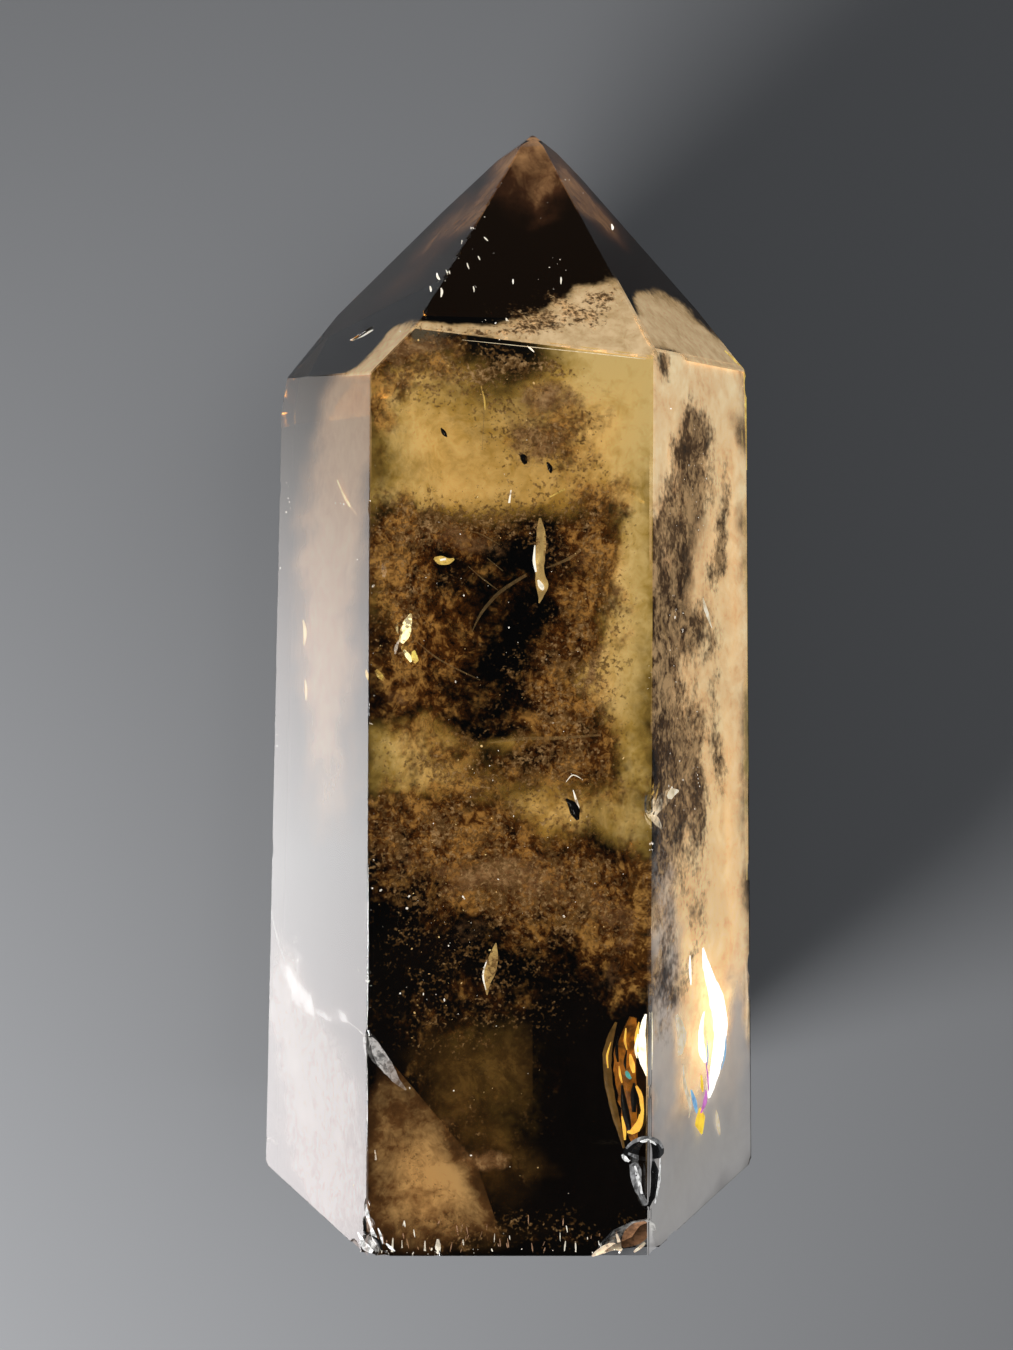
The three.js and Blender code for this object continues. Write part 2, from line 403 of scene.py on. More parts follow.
def make_mottle():
    """Mixes three colours by a fine grain, by broader patches and by how dense a cloud is."""
    group, given, result = new_group(
        "mottle", ("Level", "Level Contrast") + MOTTLE_SIZES, MOTTLE_COLOURS, "Color", "NodeSocketColor",
    )
    lifted = math_node(group, "SUBTRACT", given.outputs["Level"], 0.5)
    spread = math_node(group, "MULTIPLY", lifted, given.outputs["Level Contrast"])
    for kind, detail in (("Patch", 4.0), ("Grain", 2.0)):
        settings = {"Detail": detail, "Roughness": 0.7, "Distortion": 0.6}
        spread = add_noise(group, given, spread, kind, " Contrast", settings)
    darker = math_node(group, "ADD", spread, 1.0)
    lower = mix_colours(group, darker, given.outputs["Dark"], given.outputs["Middle"])
    whole = mix_colours(group, spread, lower, given.outputs["Light"])
    group.links.new(whole, result.inputs["Color"])
    return group


cloud_mask = make_cloud_mask()
mottle = make_mottle()


# ---- Materials ----

SMOKE_COLOUR = (0.64, 0.47, 0.13, 1.0)
SMOKE_DENSITY = 70.0
PATTERN_SHIFT = (1.0, 0.7, 1.3)   # so that no two veils share a pattern
BROADER, FINER = 1.3, 0.8         # a cloud's mottle compared with the tears in its border


def clear_quartz():
    material, nodes, links, shader = new_material("smoky_quartz")
    set_inputs(shader, {"Base Color": (1.0, 1.0, 1.0, 1.0), "Roughness": 0.02, "IOR": QUARTZ_IOR,
                        "Transmission Weight": 1.0})
    smoke = nodes.new("ShaderNodeVolumeAbsorption")
    set_inputs(smoke, {"Color": SMOKE_COLOUR, "Density": SMOKE_DENSITY})
    links.new(smoke.outputs[0], nodes["Material Output"].inputs["Volume"])
    return material


def group_node(nodes, links, group, vector, values):
    """A node for one of the shader groups, with its pattern's coordinates and values."""
    node = nodes.new("ShaderNodeGroup")
    node.node_tree = group
    set_inputs(node, values)
    links.new(vector, node.inputs["Vector"])
    return node


def mottle_node(nodes, links, vector, colours, *sizes):
    """A mottle of three colours. Its sizes follow MOTTLE_SIZES."""
    values = {label: (*colour, 1.0) for label, colour in zip(MOTTLE_COLOURS, colours)}
    values.update(zip(MOTTLE_SIZES, sizes))
    return group_node(nodes, links, mottle, vector, values)


def mask_node(nodes, links, vector, *sizes):
    """A cloud's mask. Its sizes follow MASK_SIZES."""
    return group_node(nodes, links, cloud_mask, vector, dict(zip(MASK_SIZES, sizes)))


def make_glow(material, links, shader, colour, strength):
    """The pieces inside the crystal glow a little, since lamps hardly reach them through it."""
    links.new(colour, shader.inputs["Base Color"])
    links.new(colour, shader.inputs["Emission Color"])
    shader.inputs["Emission Strength"].default_value = strength
    material.cycles.emission_sampling = "NONE"


def veil_material(name, dark, middle, light, opacity, glow, patch, patch_tear, grain, grain_tear,
                  softness, grain_contrast, patch_contrast, level_contrast, shift,
                  stretch=(1.0, 1.0, 1.0)):
    """The finish of a veil of tiny inclusions: its painted density is torn into a grainy cloud."""
    material, nodes, links, shader = new_material(name)
    set_inputs(shader, {"Roughness": 1.0, "Specular IOR Level": 0.0})
    coordinates = nodes.new("ShaderNodeTexCoord")
    mapping = nodes.new("ShaderNodeMapping")
    set_inputs(mapping, {"Location": [shift * part for part in PATTERN_SHIFT], "Scale": stretch})
    links.new(coordinates.outputs["Object"], mapping.inputs["Vector"])
    vector = mapping.outputs[0]
    density = nodes.new("ShaderNodeAttribute")
    density.attribute_name = "cloud"
    mask = mask_node(nodes, links, vector, patch, patch_tear, grain, grain_tear, softness)
    links.new(density.outputs["Fac"], mask.inputs["Density"])
    colour = mottle_node(nodes, links, vector, (dark, middle, light),
                         patch * BROADER, patch_contrast, grain * FINER, grain_contrast)
    colour.inputs["Level Contrast"].default_value = level_contrast
    links.new(density.outputs["Fac"], colour.inputs["Level"])
    thin = nodes.new("ShaderNodeMath")
    thin.operation = "MULTIPLY"
    thin.inputs[1].default_value = opacity
    links.new(mask.outputs["Mask"], thin.inputs[0])
    links.new(thin.outputs[0], shader.inputs["Alpha"])
    make_glow(material, links, shader, colour.outputs["Color"], glow)
    return material


DARKER, LIGHTER = 0.4, 1.8                  # the outer tones of a flake compared with its own
PATCH_SHARE, PATCH_CONTRAST = 0.3, 0.5      # a flake's patches compared with its grain


def flake_material(name, colour, glow, alpha=1.0, roughness=0.35, contrast=3.0, grain=1800.0):
    """The finish of small flakes and cracks inside the crystal."""
    material, nodes, links, shader = new_material(name)
    set_inputs(shader, {"Roughness": roughness, "Alpha": alpha})
    coordinates = nodes.new("ShaderNodeTexCoord")
    dark = [value * DARKER for value in colour]
    light = [min(1.0, value * LIGHTER) for value in colour]
    tone = mottle_node(nodes, links, coordinates.outputs["Object"], (dark, colour, light),
                       grain * PATCH_SHARE, contrast * PATCH_CONTRAST, grain, contrast)
    make_glow(material, links, shader, tone.outputs["Color"], glow)
    return material


FROST_ROUGHNESS = 0.28
FROST_DENSITY = 0.62
FROST_TONES = ((0.02, 0.02, 0.02), (0.30, 0.30, 0.29), (0.85, 0.84, 0.80))
FROST_MOTTLE = (700.0, 7.0, 3000.0, 2.0)
FROST_MASK = (900.0, 1.2, 4000.0, 0.5, 0.3)


def frost_material():
    material, nodes, links, shader = new_material("chip_frost")
    shader.inputs["Roughness"].default_value = FROST_ROUGHNESS
    vector = nodes.new("ShaderNodeTexCoord").outputs["Object"]
    tone = mottle_node(nodes, links, vector, FROST_TONES, *FROST_MOTTLE)
    links.new(tone.outputs["Color"], shader.inputs["Base Color"])
    mask = mask_node(nodes, links, vector, *FROST_MASK)
    mask.inputs["Density"].default_value = FROST_DENSITY
    links.new(mask.outputs["Mask"], shader.inputs["Alpha"])
    return material


# ---- The crystal ----

BLOCK_SIZE = 0.1                  # metres; the block that the ground faces are cut from
RESTING_EDGE = 0.1                # edges this low stay sharp
BLOCK_MERGE = 0.002
SOLID_MERGE = 0.001
CHIP_GROWTH = 1.002               # the copy that brings the chips is this much larger
SMOOTH_ANGLE = 22
FROST_LIFT = 0.012


def ground_block():
    """A block cut down to the crystal's ground faces, with its edges softened."""
    bpy.ops.mesh.primitive_cube_add(size=BLOCK_SIZE, location=(0.0, 0.0, 0.01))
    block = bpy.context.object
    block.name = "crystal"
    bpy.ops.object.transform_apply(location=True)
    cut_away(block, [(normal, distance) for normal, distance, _ in ground_faces], fill=True)
    merge_close(block, BLOCK_MERGE)
    weights = block.data.attributes.new("bevel_weight_edge", "FLOAT", "EDGE")
    for edge in block.data.edges:
        highest = max(block.data.vertices[index].co.z for index in edge.vertices)
        weights.data[edge.index].value = 0.0 if highest < RESTING_EDGE * MM else 1.0
    softened = block.modifiers.new("softened", "BEVEL")
    softened.width = EDGE_ROUNDING * MM
    softened.segments = 2
    softened.limit_method = "WEIGHT"
    bpy.ops.object.modifier_apply(modifier="softened")
    return block


def chipped_copy():
    """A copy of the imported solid, a hair larger, that brings its chips to the softened block."""
    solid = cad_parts["smoky_quartz"].copy()
    solid.data = solid.data.copy()
    solid.name = "chipped_copy"
    solid.parent = None
    bpy.context.scene.collection.objects.link(solid)
    merge_close(solid, SOLID_MERGE)
    middle = Vector((0.0, 0.0, AXIS_HEIGHT * MM))
    grown = Matrix.Translation(middle) @ Matrix.Scale(CHIP_GROWTH, 4) @ Matrix.Translation(-middle)
    solid.data.transform(grown)
    return solid


def make_crystal():
    crystal = ground_block()
    solid = chipped_copy()
    only(crystal)
    boolean = crystal.modifiers.new("chips", "BOOLEAN")
    boolean.operation = "INTERSECT"
    boolean.solver = "EXACT"
    boolean.object = solid
    bpy.ops.object.modifier_apply(modifier="chips")
    bpy.data.objects.remove(solid)
    only(crystal)
    bpy.ops.object.shade_smooth_by_angle(angle=math.radians(SMOOTH_ANGLE))
    for polygon in crystal.data.polygons:
        polygon.use_smooth = polygon.area < SMALLEST_GROUND_FACE
    settle(crystal, clear_quartz())
    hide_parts("smoky_quartz")
    return crystal


def make_chip_frost(crystal):
    """A thin frosting over the broken surfaces, which aren't polished like the faces."""
    only(crystal)
    bpy.ops.object.mode_set(mode="EDIT")
    bpy.ops.mesh.select_all(action="DESELECT")
    bpy.ops.object.mode_set(mode="OBJECT")
    for polygon in crystal.data.polygons:
        inside = min(distance - normal.dot(polygon.center) for normal, distance, _ in ground_faces)
        polygon.select = inside > CHIP_DEPTH * MM
    bpy.ops.object.mode_set(mode="EDIT")
    bpy.ops.mesh.duplicate()
    bpy.ops.mesh.separate(type="SELECTED")
    bpy.ops.object.mode_set(mode="OBJECT")
    frost = [thing for thing in bpy.context.selected_objects if thing is not crystal][0]
    frost.name = "chip_frost"
    only(frost)
    lift = frost.modifiers.new("lift", "DISPLACE")
    lift.strength = FROST_LIFT * MM
    lift.mid_level = 0.0
    bpy.ops.object.modifier_apply(modifier="lift")
    return settle(frost, frost_material())


# ---- Veils ----
#
# A veil is a sheet of tiny inclusions inside the crystal. Its clouds are painted as ellipses, in
# millimetres seen from above: x, distance from the cut base, half width, half length, turn in
# degrees and amount.

# Smooth noise moves a cloud's border: noise per millimetre, reach in millimetres and offset.
BORDER_WAVES = ((0.24, 0.9, 0.0), (0.75, 0.6, 9.0))
OTHER_WAY = 40.0                  # offset of the noise that moves a place along, not aside
CLOUD_FALLOFF = 0.7
CLOUD_MOST = 0.98
LONG_WAVES = (0.16, 0.12)         # noise per millimetre in a sheet's swells, across and along
SHORT_WAVES = (0.6, 0.5)
RIPPLE_SHARE = 0.25               # height of the short waves compared with the long ones
SHALLOWEST = 0.1
FACING = 0.3                      # faces turned further from a sheet's own don't push it down


def strayed(x, along, seed, waves):
    """A place seen from above, moved a little by smooth noise."""
    def stray(way):
        return sum(reach * noise.noise(Vector((x * scale, along * scale, seed + (offset + way))))
                   for scale, reach, offset in waves)

    return x + stray(0.0), along + stray(OTHER_WAY)


def painted_density(blobs, x, along, seed):
    """How dense the clouds of a veil are at a place, with borders that wander a little."""
    x, along = strayed(x, along, seed, BORDER_WAVES)
    clear = 1.0
    for centre_x, centre_along, half_width, half_length, turn, amount in blobs:
        aside, ahead = x - centre_x, along - centre_along
        cosine, sine = math.cos(math.radians(turn)), math.sin(math.radians(turn))
        in_width = (aside * cosine + ahead * sine) / half_width
        in_length = (ahead * cosine - aside * sine) / half_length
        reach = in_width * in_width + in_length * in_length
        clear *= 1.0 - min(CLOUD_MOST, amount * math.exp(-CLOUD_FALLOFF * reach))
    return 1.0 - clear


def walls_around(face, borders):
    """The planes that bound a sheet below a face: the crystal's other faces, and upright planes
    through borders. What lies left of a border's direction is outside."""
    walls = [(normal, distance) for normal, distance, _ in ground_faces
             if normal.dot(face.normal) < SAME_SIDE]
    for (x, along), (next_x, next_along) in borders:
        outward = Vector((along - next_along, next_x - x, 0.0)).normalized()
        walls.append((outward, outward.dot(Vector((x * MM, BASE_Y + along * MM, 0.0)))))
    return walls


def sunk(place, face):
    """A place moved down from a face until it lies inside the crystal's surface."""
    need = 0.0
    for normal, distance, _ in ground_faces:
        facing = normal.dot(face.normal)
        if facing > FACING:
            need = max(need, (normal.dot(place) - distance + LEAST_DEPTH * MM) / facing)
    return place - face.normal * need


def ease(share):
    share = max(0.0, min(1.0, share))
    return share * share * (3.0 - 2.0 * share)


def face_veil(name, face, material, depth, run_low, run_high, wave, seed, rim_depth, step=0.45, rim=5.0,
              borders=(), overlap=0.0):
    """A wavy sheet below a face, painted with the density of its clouds. It fills the view through
    that face only, and it rises towards the surface within the rim's width of the face's edges."""
    sheet = add_grid(round(2 * FACE_REACH / step), round((run_high - run_low) / step))
    sheet.name = name
    middle = (run_low + run_high) / 2
    for vertex in sheet.data.vertices:
        vertex.co = face.point(vertex.co.x * 2 * FACE_REACH, middle + vertex.co.y * (run_high - run_low))
    walls = walls_around(face, borders)
    cut_away(sheet, [(normal, distance + overlap * MM) for normal, distance in walls])
    density = sheet.data.attributes.new("cloud", "FLOAT", "POINT")
    for vertex in sheet.data.vertices:
        place = vertex.co.copy()
        across, run = face.ruler(place)
        gap = max(0.0, min(distance - normal.dot(place) for normal, distance in walls) / MM)
        x, along = place.x / MM, (place.y - BASE_Y) / MM
        density.data[vertex.index].value = painted_density(CLOUDS[name], x, along, seed)
        swell = Vector((across * LONG_WAVES[0] + seed, run * LONG_WAVES[1] - seed, seed))
        ripple = Vector((across * SHORT_WAVES[0] - seed, run * SHORT_WAVES[1], seed * 2))
        lowered = depth + wave * noise.noise(swell) + RIPPLE_SHARE * wave * noise.noise(ripple)
        lowered = max(SHALLOWEST, lowered)
        vertex.co = sunk(face.below(across, run, rim_depth + lowered * ease(gap / rim)), face)
    bpy.ops.object.shade_smooth()
    sheet.visible_glossy = False
    sheet.visible_shadow = False
    return settle(sheet, material)


CLOUDS = {
    # Golden clouds deep under the top face.
    "golden_cloud": [
        (-1.4, 48.8, 1.9, 0.9, 0, 0.5), (-3.3, 50.3, 1.2, 0.8, 0, 0.4), (6.5, 49.2, 3.2, 4.6, 0, 1.25),
        (6.0, 52.0, 2.9, 0.9, -5, 1.2), (0.6, 44.4, 4.6, 1.7, 5, 0.68), (-4.6, 47.3, 3.6, 2.3, -10, 0.9),
        (-4.9, 43.8, 4.3, 1.5, 0, 0.72), (-6.5, 50.1, 2.0, 1.6, 0, 0.45), (7.1, 42.2, 1.2, 3.5, 0, 0.78),
        (7.0, 38.1, 1.3, 2.9, 0, 0.8), (6.9, 34.7, 1.5, 3.2, 0, 0.7), (5.7, 32.2, 1.7, 1.8, -20, 0.8),
        (5.2, 34.7, 0.7, 2.5, -22, 0.9), (7.1, 28.3, 1.4, 3.5, 0, 0.64), (7.2, 24.4, 1.4, 1.0, 0, 0.56),
        (-5.8, 29.4, 2.2, 1.2, -15, 0.78), (-4.0, 27.4, 4.3, 1.2, -4, 0.72),
        (2.9, 25.3, 2.4, 1.5, 0, 0.86), (-6.8, 37.6, 1.6, 3.5, 10, 0.38), (-0.3, 29.4, 3.5, 0.4, 6, 0.55),
        (-1.1, 8.3, 2.8, 4.0, 0, 0.34), (-2.0, 11.7, 2.9, 1.6, 0, 0.3), (7.5, 19.4, 0.9, 3.4, 0, 0.5),
        (-0.5, 21.8, 2.0, 0.9, 0, 0.55), (1.8, 47.6, 2.6, 2.0, 0, 0.62), (-4.9, 51.2, 2.7, 1.3, 0, 0.5),
        (-4.9, 43.8, 2.3, 0.9, 0, 0.2),
    ],
    # Brown clouds of grains, nearer the top face.
    "brown_cloud": [
        (-5.2, 51.5, 3.1, 1.4, -8, 0.8), (-7.3, 49.2, 0.9, 2.6, 0, 0.85), (2.1, 48.0, 2.4, 2.1, 20, 0.6),
        (3.8, 46.3, 1.4, 1.0, 45, 0.55), (-3.1, 41.8, 4.9, 0.9, -3, 0.78), (-6.6, 39.3, 1.7, 3.2, 0, 0.8),
        (-5.7, 34.7, 2.9, 3.5, 0, 0.78), (-2.5, 37.6, 1.7, 2.9, 0, 0.4), (-0.3, 38.7, 0.9, 1.7, 0, 0.2),
        (5.4, 42.5, 1.6, 2.0, 0, 0.95), (4.2, 37.6, 1.8, 3.0, 0, 0.85), (2.5, 32.4, 1.5, 2.8, -6, 0.85),
        (-4.6, 31.3, 2.5, 1.2, 0, 0.62), (0.6, 30.5, 2.9, 0.5, 0, 0.35), (0.6, 28.0, 5.5, 1.5, 0, 0.66),
        (5.0, 28.6, 1.7, 2.3, 0, 0.9), (-3.7, 24.2, 4.6, 2.0, 0, 0.92), (-6.4, 26.0, 2.0, 1.5, 0, 0.6),
        (-1.7, 23.6, 2.3, 1.3, 0, 0.7), (3.2, 20.7, 5.5, 2.6, 0, 0.76), (6.4, 18.3, 2.2, 2.9, 0, 0.95),
        (-0.8, 21.9, 2.3, 1.3, 0, 0.6), (-5.1, 20.0, 3.5, 1.4, 0, 0.25), (-3.4, 14.3, 3.7, 1.6, 0, 0.34),
        (-2.3, 10.3, 4.0, 3.2, 0, 0.3), (0.6, 1.2, 4.0, 0.5, 0, 0.3), (5.2, 39.9, 1.3, 1.7, 0, 0.7),
        (7.5, 21.4, 1.2, 3.5, 0, 0.7),
    ],
    # Small pale clumps among the brown grains.
    "pale_clumps": [
        (-0.7, 21.9, 2.1, 0.9, 0, 1.15), (1.8, 20.6, 1.3, 0.8, 20, 0.6), (4.8, 20.0, 1.5, 0.9, -10, 0.45),
        (4.8, 33.4, 0.3, 1.7, -25, 0.75), (6.3, 37.0, 0.3, 1.5, -15, 0.5), (6.5, 18.3, 0.8, 1.1, 0, 0.45),
        (-2.3, 18.6, 1.1, 0.7, 0, 0.35), (-5.7, 22.9, 1.5, 0.7, 0, 0.42), (2.1, 48.9, 1.5, 0.8, 0, 0.9),
        (1.2, 46.6, 1.3, 0.8, 0, 0.8), (-5.2, 52.0, 1.9, 0.6, 0, 0.75), (-6.3, 50.6, 0.8, 0.8, 0, 0.4),
        (-1.3, 5.7, 1.0, 0.5, 10, 0.9), (-3.1, 7.6, 0.9, 0.6, -20, 0.5), (-2.9, 41.0, 2.3, 0.5, 0, 0.7),
        (4.7, 39.9, 0.9, 1.4, 0, 0.4), (-6.4, 31.8, 0.9, 1.2, 0, 0.35), (2.9, 14.6, 0.8, 0.6, 0, 0.3),
        (5.8, 15.4, 0.8, 0.8, 0, 0.4),
    ],
    # Fine speckle just under the top face.
    "brown_speckle": [
        (0.9, 51.2, 2.2, 0.5, 0, 0.72), (-1.7, 50.8, 0.8, 0.7, 0, 0.5), (2.1, 47.1, 2.9, 2.7, 0, 0.45),
        (-5.2, 51.2, 3.5, 2.3, 0, 0.45), (-2.9, 41.9, 6.9, 1.3, 0, 0.5), (4.7, 37.6, 1.7, 5.2, 0, 0.42),
        (-6.3, 37.6, 2.9, 4.6, 0, 0.4), (3.3, 31.8, 2.1, 2.9, 0, 0.45), (-0.5, 28.0, 6.3, 2.0, 0, 0.42),
        (-4.0, 23.7, 5.2, 2.1, 0, 0.45), (2.9, 20.3, 5.8, 3.2, 0, 0.5), (-5.1, 18.0, 3.4, 2.9, 0, 0.15),
        (-1.7, 14.0, 5.2, 2.3, 0, 0.25), (-3.4, 6.6, 4.6, 4.6, 0, 0.22), (0.6, 1.5, 9.2, 0.9, 0, 0.28),
        (0.6, 33.5, 2.9, 2.3, 0, 0.2),
    ],
    # Cream clouds below the upper right face. Towards the base a grey sheet of painted light stands in for
    # the bright floor seen through the crystal.
    "right_cream_cloud": [
        (8.8, 43.5, 1.1, 4.1, 0, 0.9), (11.9, 9.3, 3.7, 3.7, 0, 0.85), (12.0, 52.3, 3.8, 2.5, 0, 1.2),
        (14.1, 46.0, 2.0, 5.9, 0, 1.2), (14.4, 36.8, 1.7, 5.9, 0, 1.2), (13.6, 27.7, 1.9, 5.8, 0, 1.2),
        (13.2, 21.4, 2.6, 4.5, 0, 1.25), (12.3, 15.3, 2.5, 3.8, 0, 1), (10.3, 11.3, 1.8, 3.0, 0, 0.7),
        (9.4, 47.8, 1.2, 4.2, 0, 1), (11.1, 32.3, 1.6, 2.5, -25, 0.95), (12.4, 38.6, 1.0, 2.5, 0, 0.8),
        (9.4, 19.9, 1.1, 5.3, 0, 0.45), (15.0, 11.7, 0.9, 5.3, 0, 0.75),
    ],
    "right_grey_painted_light": [
        (11.9, 2.2, 4.4, 2.5, 0, 1.3), (14.0, 5.6, 1.7, 3.2, 0, 1), (9.4, 9.3, 1.3, 4.7, 0, 1),
        (9.1, 15.3, 0.8, 4.7, 0, 0.7), (8.9, 21.2, 0.7, 3.5, 0, 0.55), (15.4, 7.5, 0.9, 6.0, 0, 1),
        (13.1, 4.8, 1.9, 1.9, 0, 0.8),
    ],
    # The dark, grainy streak in front of them.
    "right_dark_streak": [
        (12.0, 47.9, 0.9, 1.6, 5, 1.25), (11.4, 45.0, 1.1, 2.5, -8, 1.15),
        (9.9, 43.7, 0.8, 2.2, -10, 0.8), (9.1, 40.7, 0.8, 2.1, 0, 1.35),
        (10.6, 40.2, 0.9, 2.7, -12, 0.85), (13.8, 42.3, 0.5, 3.0, -6, 0.95),
        (8.8, 37.0, 0.8, 2.9, 0, 1.1), (10.5, 36.1, 1.1, 1.8, -30, 0.95),
        (9.1, 32.9, 0.9, 2.6, -10, 0.95), (12.3, 35.4, 0.5, 1.0, -20, 0.6),
        (9.5, 29.4, 1.1, 2.4, -15, 0.85), (10.6, 27.2, 1.1, 2.7, -10, 0.9),
        (11.7, 27.3, 0.4, 3.1, 5, 0.95), (9.1, 24.1, 0.8, 2.9, 0, 0.7), (11.9, 23.6, 0.9, 1.9, 0, 0.5),
        (9.1, 51.7, 0.6, 0.9, 0, 0.95), (13.6, 27.1, 0.5, 1.9, 0, 0.6), (13.3, 31.6, 0.6, 2.6, 0, 0.45),
        (11.1, 20.1, 0.7, 2.5, 0, 0.5), (9.0, 18.3, 0.6, 4.1, 0, 0.6), (9.7, 13.3, 0.7, 1.8, 0, 0.5),
        (11.1, 15.8, 0.6, 2.4, -10, 0.5), (10.0, 46.8, 0.6, 1.2, 20, 0.6),
    ],
    # A faint peach cloud below the upper left face, and the rough border of the crack there.
    "left_peach_cloud": [
        (-9.5, 47.9, 1.8, 3.6, -15, 1), (-11.1, 42.8, 2.2, 5.6, -5, 0.95),
        (-11.4, 35.4, 1.9, 5.6, 0, 0.85), (-11.0, 28.0, 1.7, 4.3, 0, 0.6), (-8.9, 49.5, 1.1, 2.6, 0, 1),
        (-9.4, 50.6, 1.6, 1.6, -20, 0.9),
    ],
    "left_crack_rough": [
        (-14.0, 13.4, 0.5, 1.0, 28, 0.95), (-13.1, 12.5, 0.5, 0.8, 30, 1),
        (-11.4, 12.1, 0.9, 0.3, 0, 0.8), (-9.8, 12.7, 0.6, 0.3, -10, 0.7),
        (-13.4, 14.9, 0.3, 0.8, 20, 0.5),
    ],
    # A near-black sheet of painted shade deep below the top face, near the base: it stands in for the
    # shaded floor under the crystal, seen through it.
    "base_painted_shade": [
        (4.6, 8.3, 4.6, 6.9, 0, 1.6), (-5.1, 15.1, 3.4, 4.6, 0, 1.4), (-0.5, 7.2, 4.6, 5.2, 0, 1.2),
    ],
    # Below the end faces: tan and cream clouds along the lower rims, reddish haze near the tip.
    "top_end_cloud": [
        (6.5, 53.9, 2.7, 1.9, 20, 1.4), (7.7, 55.8, 0.8, 1.6, 0, 1.1), (4.8, 55.3, 2.9, 0.7, 25, 0.9),
        (5.3, 52.6, 3.5, 0.6, -7, 1.3), (2.1, 53.3, 2.3, 0.7, 5, 0.9), (-1.1, 53.0, 3.5, 0.4, -4, 0.8),
        (-4.6, 53.4, 1.3, 0.4, 0, 0.8),
    ],
    "top_end_haze": [
        (1.5, 68.2, 1.3, 1.1, 0, 1.02), (1.4, 66.3, 2.1, 1.7, 0, 0.66), (0.8, 63.8, 3.2, 1.5, 0, 0.42),
        (3.3, 65.5, 0.9, 2.2, -24, 0.62), (2.3, 63.9, 0.4, 1.7, -20, 0.5),
    ],
    "right_end_cloud": [
        (8.8, 54.0, 1.0, 1.6, -20, 1.3), (15.6, 53.9, 1.3, 1.1, 0, 1.2), (11.3, 53.4, 3.1, 0.6, -15, 1.2),
        (10.9, 55.1, 2.2, 1.9, -35, 1.3), (13.1, 54.5, 2.2, 1.6, -30, 1.2),
        (8.8, 56.1, 0.7, 0.7, -35, 0.9),
    ],
    "right_end_haze": [
        (4.4, 65.6, 1.2, 2.4, 40, 0.9), (6.0, 63.0, 1.3, 2.0, 40, 0.7),
    ],
    "left_end_cloud": [
        (-6.8, 52.3, 2.0, 0.8, 38, 1.2), (-8.3, 51.2, 1.8, 0.6, 20, 1.2), (-9.9, 51.4, 1.6, 0.4, 6, 0.8),
    ],
    "left_end_haze": [
        (-2.0, 64.0, 1.4, 3.9, -42, 0.66), (-4.5, 61.4, 1.3, 3.2, -42, 0.42),
        (-7.1, 58.8, 1.2, 2.6, -42, 0.25), (-0.3, 66.7, 0.9, 1.6, -40, 0.85),
    ],
    "top_end_speckle": [
        (-4.5, 53.2, 1.4, 0.5, 0, 0.62), (-1.7, 53.2, 2.1, 0.5, 0, 0.6), (1.2, 54.0, 2.0, 0.8, -10, 0.58),
        (3.6, 55.3, 1.9, 0.8, -22, 0.66), (5.7, 56.6, 1.3, 0.7, -15, 0.6),
        (5.4, 54.4, 2.0, 0.7, -20, 0.3),
    ],
    "worn_tip_haze": [
        (1.7, 68.6, 0.9, 0.7, 0, 1.3),
    ],
    # The corner behind the healed crack, seen through the top and the left face.
    "corner_crack": [
        (-3.7, 4.2, 1.5, 1.6, 20, 0.85), (-4.8, 3.5, 1.9, 1.5, 0, 0.42), (-4.5, 6.0, 1.5, 2.9, -35, 0.49),
        (-6.3, 7.7, 1.6, 3.4, -30, 0.54), (-6.3, 3.5, 2.1, 2.3, 0, 0.46), (-4.8, 1.5, 4.0, 1.0, 0, 0.45),
        (-7.1, 10.0, 0.9, 1.7, -30, 0.4), (-1.8, 2.5, 1.1, 1.4, 0, 0.5),
    ],
    "corner_crack_pale": [
        (-11.7, 7.6, 3.1, 4.3, 0, 1.1), (-14.3, 11.4, 1.6, 3.3, 20, 1), (-10.9, 2.6, 3.0, 3.6, 0, 1),
    ],
    # The smooth haze beside it.
    "lower_haze": [
        (-0.5, 10.5, 2.5, 2.1, 0, 0.58), (-2.8, 11.1, 2.6, 2.0, 0, 0.5), (-3.4, 8.3, 1.7, 2.3, -30, 0.4),
    ],
    "lower_spread": [
        (-1.1, 6.8, 2.1, 1.3, 0, 0.5), (0.0, 5.5, 1.7, 1.0, -30, 0.4), (-1.3, 5.0, 1.4, 0.8, 10, 0.5),
        (-2.0, 7.7, 1.7, 1.4, 0, 0.3), (2.2, 4.8, 1.1, 0.5, -25, 0.32), (-0.7, 3.5, 1.5, 1.0, 0, 0.34),
        (-1.4, 1.4, 3.2, 0.8, 0, 0.4),
    ],
}

